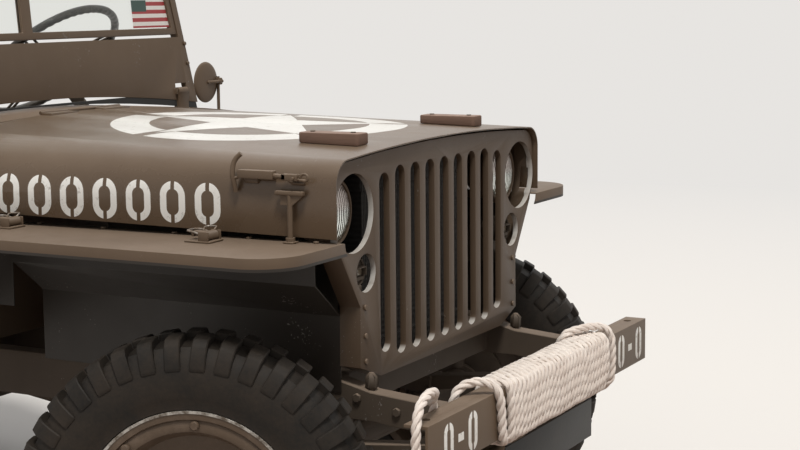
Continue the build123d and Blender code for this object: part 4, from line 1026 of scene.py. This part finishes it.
# Windscreen: a pressed steel frame with a blank lower panel and an inner frame of two panes, each
# with a wiper hung over it. A rubber strip seals its foot on the cowl.
black_rubber = material("black_rubber", "seal_rubber")
surface(black_rubber, between((0.012, 0.012, 0.012), (0.06, 0.05, 0.042), dusty_up(0.6, 20.0)), 0.7, 0.0,
        bumped(noise(260.0), 0.0004))
pane = material("pane_glass", "pane_glass")
smear = ramp(noise(7.0, 6.0, 0.65), (0.45, 0.0), (0.8, 1.0))
surface(pane, (0.93, 0.96, 0.94), 0.02 + smear * 0.10, 0.0, Transmission_Weight=1.0, IOR=1.3)
soften("windscreen_frame", body_paint, 0.0015)
soften("windscreen_seal", black_rubber, 0.0008, rounds=1)
soften("glass_frame", body_paint, 0.0015)
soften("windscreen_glass", pane, 0.0005, rounds=1)

lean = radians(5.2)
foot_y = 876
foot_z = 1104


def on_screen(x, out, z):
    """A place in mm on the windscreen: across, out of its front face and up, drawn upright."""
    rise = z - foot_z
    return (x, foot_y - out * cos(lean) + rise * sin(lean), foot_z + rise * cos(lean) + out * sin(lean))


screen_out = (0, -cos(lean), sin(lean))
screen_bolts = [(place(*on_screen(side * x, 0.5, z)), screen_out) for side in (1, -1)
                for x, z in ((652, 1180), (646, 1235))]
fixed(studded("windscreen_bolts", screen_bolts, 0.012, 0.004), body_paint, "windscreen")
wiper_z = 1682
wiper_parts = []
blade_parts = []
for side in (1, -1):
    x = side * 285
    low_x = x - side * 130
    post = (on_screen(x, -24, wiper_z), on_screen(x, 14, wiper_z))
    handle = (on_screen(x, -24, wiper_z), on_screen(x, -30, 1680), on_screen(x, -34, 1655),
              on_screen(x, -34, 1640))
    arm = (on_screen(x, 12, wiper_z), on_screen(x - side * 6, 12, 1664),
           on_screen((x + low_x) / 2, 9, 1560), on_screen(low_x + side * 26, 6, 1482))
    blade = (on_screen(x - side * 36, 2.5, 1590), on_screen(low_x, -1.5, 1404))
    wiper_parts += [bent("wiper_post", post, 0.006), bent("wiper_handle", handle, 0.004),
                    bent("wiper_arm", arm, 0.003)]
    blade_parts.append(bent("wiper_blade", blade, 0.0042, True, 1))
fixed(grouped("wiper_arms", wiper_parts), under_paint, "windscreen")
fixed(grouped("wiper_blades", blade_parts), black_rubber, "windscreen")

# Sticker: a small printed film on the driver's pane, with a plain dark corner beside red and
# white bands. It is stuck to the outside of the glass.
sticker_film = material("sticker_film", "pane_glass")
band_pitch = 0.0215
corner_x = 0.499
corner_z = 1.325
film_x, _, film_z = axes(coords())
band = (film_z * (1 / band_pitch) + 0.15).maths("FRACT") > 0.5
in_corner = (film_x < corner_x) * (film_z > corner_z)
film_colour = between((0.80, 0.79, 0.77), (0.36, 0.045, 0.05), band)
film_colour = between(film_colour, (0.035, 0.075, 0.065), in_corner)
surface(sticker_film, film_colour, 0.35 + noise(60.0) * 0.2)
pane_out = -9.4
film_corners = ((434, 1283), (602, 1283), (602, 1358), (434, 1358))
film = outlined("pane_sticker", [place(*on_screen(x, pane_out, z)) for x, z in film_corners])
fixed(pushed(film, (0, -0.0004, 0)), sticker_film, "windscreen")

# Mirror: a round glass in a thin domed steel shell, clamped to the top of a bent rod that stands
# on the left side of the cowl.
mirror_glass = material("mirror_glass", "mirror_head")
film_haze = noise(26.0, 4.0, 0.6)
mirror_tint = between((0.82, 0.84, 0.83), (0.66, 0.67, 0.66), film_haze)
surface(mirror_glass, mirror_tint, 0.04 + film_haze * 0.08, 1.0)
mirror_x = 735
mirror_y = 880
mirror_z = 1122
post_x = 786
post_y = 872
shell_section = ((8.6, 0.4), (8.2, 20), (6.8, 38), (4.2, 51), (1.0, 57), (-0.6, 58), (-1.2, 56.5), (0, 55),
                 (3.0, 50), (5.6, 37), (7.0, 19), (7.4, 0.4))
mirror_bolts = [(place(794, 866, 1123), (1, 0, 0)), (place(746, 858, 932), (1, 0, 0)),
                (place(746, 886, 932), (1, 0, 0)), (place(mirror_x, 871.6, mirror_z), (0, -1, 0))]
post_line = ((744, post_y, 940), (post_x, post_y, 940), (post_x, post_y, 962), (post_x, post_y, 1137))
arm_line = ((737, 873, mirror_z), (750, 866, mirror_z), (post_x, 864, 1123))
mirror_parts = [spun("mirror_shell", shell_section, mirror_x, mirror_y, mirror_z, 72),
                bent("mirror_post", post_line, 0.0046),
                bent("mirror_arm", arm_line, 0.0048),
                slab("mirror_clamp", (779, 861, 1113), (794, 879, 1133), 0.003),
                slab("mirror_foot", (741, 850, 924), (746, 894, 956), 0.0015),
                studded("mirror_bolts", mirror_bolts, 0.011, 0.005)]
mirror_body = nodes["mirror"]["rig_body"]
mirror = fixed(grouped("mirror_stand", mirror_parts), body_paint, mirror_body)
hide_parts("mirror")
face_section = ((0.3, 0.4), (0.3, 55.4), (-0.5, 55.4), (-0.5, 0.4))
mirror_face = spun("mirror_face", face_section, mirror_x, mirror_y, mirror_z, 72)
fixed(mirror_face, mirror_glass, mirror_body)

# Instruments: five dials in the middle of the dash, with switches under them, blank data plates
# on the right and a bent grab bar at the passenger's end.
to_rear = Matrix.Rotation(pi / 2, 4, "Z")
dash_y = 960
# across, up, radius, way the needle points in degrees
dials = ((0, 1008, 43, 200), (-78, 1034, 24, 30), (-78, 978, 24, 330), (78, 1034, 24, 20), (78, 978, 24, 345))
scale_half_turn = 2.5
switch_section = ((0, 0.4), (0, 9), (4, 9.5), (5, 5), (14, 4.5), (16, 9), (23, 9.5), (25, 0.4))
needle_white = material("needle_white", "body_paint")
surface(needle_white, (0.75, 0.73, 0.66), 0.5 + noise(90.0) * 0.1)


def dial_paint(name, x, z, r):
    """A black dial's enamel, with pale ticks round most of its edge."""
    made = material(name, "plate_black")
    across, _, up = axes(coords())
    dx = across - x / 1000
    dz = up - z / 1000
    reach = (dx * dx + dz * dz).maths("SQRT")
    around = dx.maths("ARCTAN2", dz)
    in_tick = abs(around.maths("WRAP", pi / 12, -pi / 12)) < 0.035
    ticks = in_tick * (reach > r * 0.00066) * (reach < r * 0.00088)
    colour = between((0.012, 0.012, 0.012), (0.62, 0.60, 0.52), ticks * (abs(around) < scale_half_turn))
    return surface(made, colour, 0.3 + noise(70.0) * 0.1, Coat_Weight=0.8)


dial_parts = []
needle_parts = []
for x, z, r, points_to in dials:
    bezel = ((0, r + 6), (3, r + 6.4), (8, r + 3.5), (9, r), (6, r - 1.6), (0, r - 1.6))
    dial_parts.append(spun("dial_bezel", bezel, x, dash_y, z, 48, to_rear))
    number = str(len(dial_parts))
    face_disc = ((0, 0.4), (3.2, 0.4), (3.2, r - 1), (0, r - 1))
    dial = spun("dial_face_" + number, face_disc, x, dash_y, z, 48, to_rear)
    fixed(dial, dial_paint("dial_face_" + number, x, z, r))
    along_x, along_z = sin(radians(points_to)), cos(radians(points_to))
    needle = outlined("needle", [place(x + along_x * r * 0.8, dash_y + 4, z + along_z * r * 0.8),
                                 place(x + along_z * 1.6, dash_y + 4, z - along_x * 1.6),
                                 place(x - along_z * 1.6, dash_y + 4, z + along_x * 1.6)])
    needle_parts.append(pushed(needle, (0, 0.001, 0)))
for x in (-130, -96, -32, 32, 96, 130):
    dial_parts.append(spun("switch", switch_section, x, dash_y, 944, 24, to_rear))
grab_bar = ((-660, dash_y, 1000), (-660, dash_y + 42, 1000), (-650, dash_y + 46, 1000),
            (-520, dash_y + 46, 1012), (-510, dash_y + 42, 1012), (-510, dash_y, 1012))
dial_parts.append(bent("grab_bar", grab_bar, 0.0075))
fixed(grouped("instruments", dial_parts), under_paint)
fixed(grouped("dial_needles", needle_parts), needle_white)
data_plates = [slab("data_plate", (x - 48, dash_y, 966), (x + 48, dash_y + 1.2, 1024), 0.0005, 1)
               for x in (-390, -280, -180)]
fixed(grouped("data_plates", data_plates), plate_black)

# Steering wheel: a black moulded rim with finger grips on its underside, on three pairs of thin
# steel spokes, with the horn button in the middle of the hub.
rim_black = material("steering_rim", "steering_rim")
handled = ramp(noise(22.0, 4.0, 0.6), (0.35, 0.0), (0.75, 1.0))
surface(rim_black, between((0.016, 0.015, 0.013), (0.055, 0.046, 0.036), handled), 0.32 + handled * 0.25, 0.0,
        bumped(noise(240.0), 0.0003))
wheel_middle = place(335, 1112, 1195)
column_slope = radians(-42)
wheel_stand = Matrix.Translation(wheel_middle) @ Matrix.Rotation(column_slope, 4, "X")
upright = Matrix.Rotation(-pi / 2, 4, "Y")
wheel_r = 0.208
finger_grips = 54
clear_selection()
bpy.ops.mesh.primitive_torus_add(major_radius=wheel_r, minor_radius=0.011, major_segments=4 * finger_grips,
                                 minor_segments=12)
grip_rim = bpy.context.object
for corner in grip_rim.data.vertices:
    if corner.co.z < 0:
        corner.co.z *= 0.92 - 0.10 * cos(finger_grips * atan2(corner.co.y, corner.co.x))
button_section = ((0.012, 0.0004), (0.012, 0.016), (0.017, 0.0165), (0.021, 0.013), (0.0226, 0.0004))
button = turned("horn_button", button_section, 32)
button.data.transform(upright)
grip_rim = grouped("steering_grip", [grip_rim, button])
grip_rim.data.transform(wheel_stand)
fixed(grip_rim, rim_black, "steering_wheel")
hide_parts("steering_wheel")
spoke_parts = []
for turn_to in (90, 210, 330):
    spoke_turn = wheel_stand @ Matrix.Rotation(radians(turn_to), 4, "Z")
    for aside in (-0.010, 0.010):
        spoke = ((0.028, aside, -0.006), (0.07, aside, -0.008), (0.15, aside, -0.002), (wheel_r, aside, 0))
        spoke_parts.append(bent("spoke", spoke, 0.0036, stand=spoke_turn))
wheel_hub = turned("wheel_hub", ((-0.0165, 0.0175), (-0.0165, 0.030), (-0.006, 0.0355), (0.008, 0.0355),
                                 (0.014, 0.030), (0.0145, 0.0175)), 40)
wheel_hub.data.transform(wheel_stand @ upright)
spokes = fixed(grouped("steering_spokes", spoke_parts + [wheel_hub]), under_paint, "steering_wheel")
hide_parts("steering_wheel")

# Pedals and levers: steel rods through the floor and the fire wall, with black knobs on the levers
# and a ribbed rubber pad on each pedal.
control_steel = material("control_steel", "chassis_paint")
# across, back, up and radius of each lever's knob
knobs = ((40, 1000, 1010, 20), (-20, 990, 850, 15), (-60, 990, 830, 15))
near_knobs = []
for x, y, z, r in knobs:
    away = Tone.node("VectorMath", {"operation": "DISTANCE"}, outlet=1, n0=coords(), n1=place(x, y, z))
    near_knobs.append(away < r / 1000)
knob_black = any_of(near_knobs)
control_worn = ramp(noise(30.0, 5.0, 0.6), (0.4, 0.0), (0.62, 1.0))
rod_colour = between(olive, (0.16, 0.13, 0.10), control_worn)
surface(control_steel, between(rod_colour, (0.014, 0.013, 0.012), knob_black), 0.45 - knob_black * 0.25, 0.0,
        bumped(noise(200.0), 0.0002))
soften("floor_controls", control_steel, 0.0008, rounds=1)
pedal_slope = Matrix.Rotation(radians(-60), 4, "X")
pad_parts = [slab("pedal_pad", (-22, middle_y - 36, 3.6), (22, middle_y + 36, 6.6), 0.001)]
for step in range(-30, 31, 10):
    rib_y = middle_y + step
    pad_parts.append(slab("pedal_rib", (-20, rib_y - 2.5, 6), (20, rib_y + 2.5, 8.6), 0.0008))
pedal_pad = grouped("pedal_pad", pad_parts)
pedals = [copied(pedal_pad, Matrix.Translation(place(x, 850, 735)) @ pedal_slope) for x in (230, 285, 440)]
bpy.data.objects.remove(pedal_pad)
fixed(grouped("pedal_pads", pedals), black_rubber)

# Seats: bent steel tube frames with a sheet pan and back plate, painted with the body. On each lie
# a stuffed canvas cushion and a thinner back pad, with a sewn piping round their edges.
for node in ("driver_seat_frame", "passenger_seat_frame", "rear_seat_frame"):
    soften(node, body_paint, 0.0008, rounds=1)
canvas = material("seat_canvas", "seat_canvas")
thread_pitch = 0.0017
warp_x, warp_y, warp_z = axes(coords())
thread = 2 * pi / thread_pitch
weave = (warp_x * thread).maths("SINE") * ((warp_y + warp_z) * thread).maths("SINE")
faded = ramp(noise(6.0, 5.0, 0.6), (0.32, 0.0), (0.72, 1.0))
soiled = ramp(noise(15.0, 5.0, 0.65), (0.52, 0.0), (0.8, 1.0))
canvas_colour = between((0.122, 0.098, 0.060), (0.190, 0.158, 0.105), faded * 0.8 + weave * 0.12)
canvas_colour = between(canvas_colour, (0.075, 0.060, 0.042), soiled * 0.6)
surface(canvas, canvas_colour, 0.88 + faded * 0.08, 0.0,
        bumped(weave * 0.6 + noise(40.0, 4.0) * 0.8, 0.0009), Sheen_Weight=0.2, Specular_IOR_Level=0.25)
piping_canvas = material("piping_canvas", "seat_canvas")
surface(piping_canvas, between((0.095, 0.080, 0.050), (0.15, 0.125, 0.08), noise(30.0)), 0.9, 0.0,
        bumped(noise(500.0), 0.0004), Sheen_Weight=0.2)
slack = 0.007
voxel = 0.006
last_frame = 20
widest_refined = 0.5
piping_r = 0.0035
corner_r = 0.026
stitch = 0.012
low_seam = 0.004


def rounded(half_x, half_y, r):
    """Places round a rectangle about the origin whose corners are arcs."""
    spots = []
    for cx, cy, start in ((1, 1, 0), (-1, 1, 90), (-1, -1, 180), (1, -1, 270)):
        for step in range(0, 91, 15):
            angle = radians(start + step)
            spots.append((cx * (half_x - r) + r * cos(angle), cy * (half_y - r) + r * sin(angle)))
    return spots


def piped(pad, width, depth, level):
    """A sewn cord round a pad at one level, laid on the pad's surface and smoothed."""
    loop = [Vector((x, y, level)) for x, y in rounded(width / 2, depth / 2, corner_r)]
    path = []
    for i, spot in enumerate(loop):
        after = loop[(i + 1) % len(loop)]
        pieces = max(1, round((after - spot).length / stitch))
        path += [pad.closest_point_on_mesh(spot.lerp(after, part / pieces))[1] for part in range(pieces)]
    for _ in range(3):
        path = [(path[i - 1] + path[i] * 2 + path[(i + 1) % len(path)]) / 4 for i in range(len(path))]
    return drawn("piping", [path], piping_r, 1, closed=True)


def stuffed(name, width, depth, thick, swell):
    """A canvas pad lying flat on the ground plane: a low block blown up as cloth, then its piping."""
    clear_selection()
    bpy.ops.mesh.primitive_cube_add(size=1, location=(0, 0, thick / 2 - slack / 3))
    pad = bpy.context.object
    pad.name = name
    pad.scale = (width - 2 * slack, depth - 2 * slack, thick - slack)
    bpy.ops.object.transform_apply(location=True, rotation=True, scale=True)
    with editing(pad):
        bpy.ops.mesh.bevel(offset=0.011, segments=3, affect="EDGES")
    grid = pad.modifiers.new("grid", "REMESH")
    grid.mode = "VOXEL"
    grid.voxel_size = voxel
    bpy.ops.object.modifier_apply(modifier="grid")
    before = [corner.co.copy() for corner in pad.data.vertices]
    cloth = pad.modifiers.new("stuffing", "CLOTH")
    cloth.settings.use_pressure = True
    cloth.settings.uniform_pressure_force = 4
    cloth.settings.effector_weights.gravity = 0
    cloth.settings.quality = 5
    cloth.point_cache.frame_start = 1
    cloth.point_cache.frame_end = last_frame
    for frame_number in range(1, last_frame + 1):
        bpy.context.scene.frame_set(frame_number)
    pick(pad)
    bpy.ops.object.modifier_apply(modifier="stuffing")
    bpy.context.scene.frame_set(1)
    for corner, start in zip(pad.data.vertices, before):
        move = corner.co - start
        if move.length > swell:
            corner.co = start + move.normalized() * swell
        corner.co.z = max(corner.co.z, 0.0)
    if width < widest_refined:
        finer = pad.modifiers.new("finer", "SUBSURF")
        finer.levels = 1
        finer.render_levels = 1
        bpy.ops.object.modifier_apply(modifier="finer")
    return pad, grouped(name + "_piping", [piped(pad, width, depth, level) for level in (thick, low_seam)])


lying = Matrix()
front_back = Matrix.Rotation(pi / 2 - radians(9.02), 4, "X")
bench_back = Matrix.Rotation(pi / 2 - radians(7.91), 4, "X")
# pad, width, depth, thickness, most that it swells, how it leans, seats that it is on and its places
seat_pads = (("seat_cushion", 0.392, 0.356, 0.0714, 0.010, lying,
              (("driver", (335, 1372, 727.6)), ("passenger", (-335, 1372, 727.6)))),
             ("back_pad", 0.368, 0.2693, 0.0500, 0.008, front_back,
              (("driver", (335, 1625, 956)), ("passenger", (-335, 1625, 956)))),
             ("bench_cushion", 0.812, 0.316, 0.0714, 0.010, lying, (("rear", (0, 2192, 790.6)),)),
             ("bench_back", 0.788, 0.2504, 0.0500, 0.008, bench_back, (("rear", (0, 2419.2, 1010)),)))
for name, width, depth, thick, swell, leaning, seats in seat_pads:
    pad, piping = stuffed(name, width, depth, thick, swell)
    for seat, spot in seats:
        stand = Matrix.Translation(place(*spot)) @ leaning
        body = nodes[seat + "_seat_pads"]["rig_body"]
        laid = fixed(copied(pad, stand), canvas, body, 60)
        laid.name = seat + "_" + name
        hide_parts(seat + "_seat_pads")
        edge = fixed(copied(piping, stand), piping_canvas, body, 60)
        edge.name = seat + "_" + name + "_piping"
    bpy.data.objects.remove(pad)
    bpy.data.objects.remove(piping)

# Tail lamps: round steel cups on brackets at the tub's rear corners, each with a red lens behind
# a rolled rim.
lamp_red = material("lamp_red", "lamp_red")
facet = 2 * pi / 0.006
red_x, _, red_z = axes(coords())
facets = (red_x * facet).maths("SINE") * (red_z * facet).maths("SINE")
lens_red = between((0.30, 0.010, 0.008), (0.42, 0.03, 0.02), noise(40.0))
surface(lamp_red, lens_red, 0.18 + noise(60.0) * 0.08, 0.0, bumped(facets, 0.0008), Coat_Weight=0.7)
tail_y = 2660
tail_z = 760
tail_cup_section = ((0, 0.4), (0, 24), (5, 33), (14, 35.4), (31, 35.6), (34, 36.4), (37.5, 35), (38, 31),
                    (34, 30), (30, 30), (30, 0.4))
tail_lens_section = ((29, 0.4), (29, 30.2), (34, 30.2), (37, 25), (39.4, 14), (40, 0.4))
for side, hand in ((1, "left"), (-1, "right")):
    x = side * 696
    cup = spun("tail_cup", tail_cup_section, x, tail_y, tail_z, 48, to_rear)
    bracket = slab("tail_bracket", (x - 12, tail_y - 6, 720), (x + 12, tail_y + 1, 782), 0.0015)
    lamp = fixed(grouped("tail_lamp_" + hand, [cup, bracket]), body_paint)
    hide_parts("tail_lamps")
    tail_lens = spun("tail_lens_" + hand, tail_lens_section, x, tail_y, tail_z, 48, to_rear)
    fixed(tail_lens, lamp_red, smooth=60)

# Fuel can: two pressed steel halves welded round a rim, with a cross pressed into each broad face,
# three carrying bars and a hinged cap. A webbing strap holds it in its tray.
can_x = 400
can_y = 2762.5
weld_thick = 0.004
can_parts = [slab("can_body", (can_x - 172, 2680, 641), (can_x + 172, 2845, 1080), 0.022, 4)]
weld = outlined("can_weld", [place(can_x + x, can_y - 2, 860.5 + z) for x, z in rounded(175, 222.5, 26)])
can_parts.append(pushed(weld, (0, weld_thick, 0)))
cross_middle = place(can_x, middle_y, 850)
for y0, y1 in ((2677.2, 2682), (2843, 2847.8)):
    for slope in (51, -51):
        rib = slab("can_rib", (-165, y0, -9), (165, y1, 9), 0.0035, 2)
        rib.data.transform(Matrix.Translation(cross_middle) @ Matrix.Rotation(radians(slope), 4, "Y"))
        can_parts.append(rib)
    for z in (1000, 692):
        can_parts.append(slab("can_rib", (can_x - 140, y0, z), (can_x + 140, y1, z + 12), 0.003, 2))
for y in (can_y - 50, can_y, can_y + 50):
    carrying_bar = ((can_x - 84, y, 1072), (can_x - 84, y, 1108), (can_x - 76, y, 1112),
                    (can_x + 54, y, 1112), (can_x + 62, y, 1108), (can_x + 62, y, 1072))
    can_parts.append(bent("can_bar", carrying_bar, 0.0088))
neck_section = ((1.070, 0.016), (1.070, 0.0275), (1.096, 0.0275), (1.098, 0.024), (1.098, 0.016))
cap_section = ((1.096, 0.0004), (1.096, 0.029), (1.101, 0.0295), (1.106, 0.026), (1.108, 0.0004))
for ring in (turned("can_neck", neck_section, 32), turned("can_cap", cap_section, 32)):
    ring.data.transform(Matrix.Translation(place(can_x + 120, can_y, 0)) @ Matrix.Rotation(-pi / 2, 4, "Y"))
    can_parts.append(ring)
for side in (-1, 1):
    cap_lever = ((can_x + 98, can_y + side * 14, 1102), (can_x + 98, can_y + side * 16, 1114),
                 (can_x + 140, can_y + side * 16, 1112), (can_x + 152, can_y + side * 12, 1096))
    can_parts.append(bent("cap_lever", cap_lever, 0.0032))
fuel_can = fixed(grouped("pressed_fuel_can", can_parts), body_paint)
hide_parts("fuel_can")
webbing = material("webbing", "seat_canvas")
web_thread = 2 * pi / 0.004
web_weave = (axes(coords())[2] * web_thread).maths("SINE")
surface(webbing, between((0.13, 0.115, 0.07), (0.20, 0.175, 0.115), noise(24.0, 5.0)), 0.9, 0.0,
        bumped(web_weave + noise(500.0), 0.0006), Sheen_Weight=0.2)
strap_path = [place(can_x + x, can_y + y, 905) for x, y in rounded(176, 86, 26)]
fixed(drawn("can_strap", [strap_path], 0.0011, 0, closed=True, tall=0.019), webbing)
buckle = [slab("buckle", (can_x - 30, 2849, z), (can_x + 22, 2852.5, z + 5), 0.001) for z in (882, 923)]
buckle += [slab("buckle", (can_x + x, 2849, 882), (can_x + x + 5, 2852.5, 928), 0.001) for x in (-30, -6, 17)]
fixed(grouped("strap_buckle", buckle), rubbed_steel)
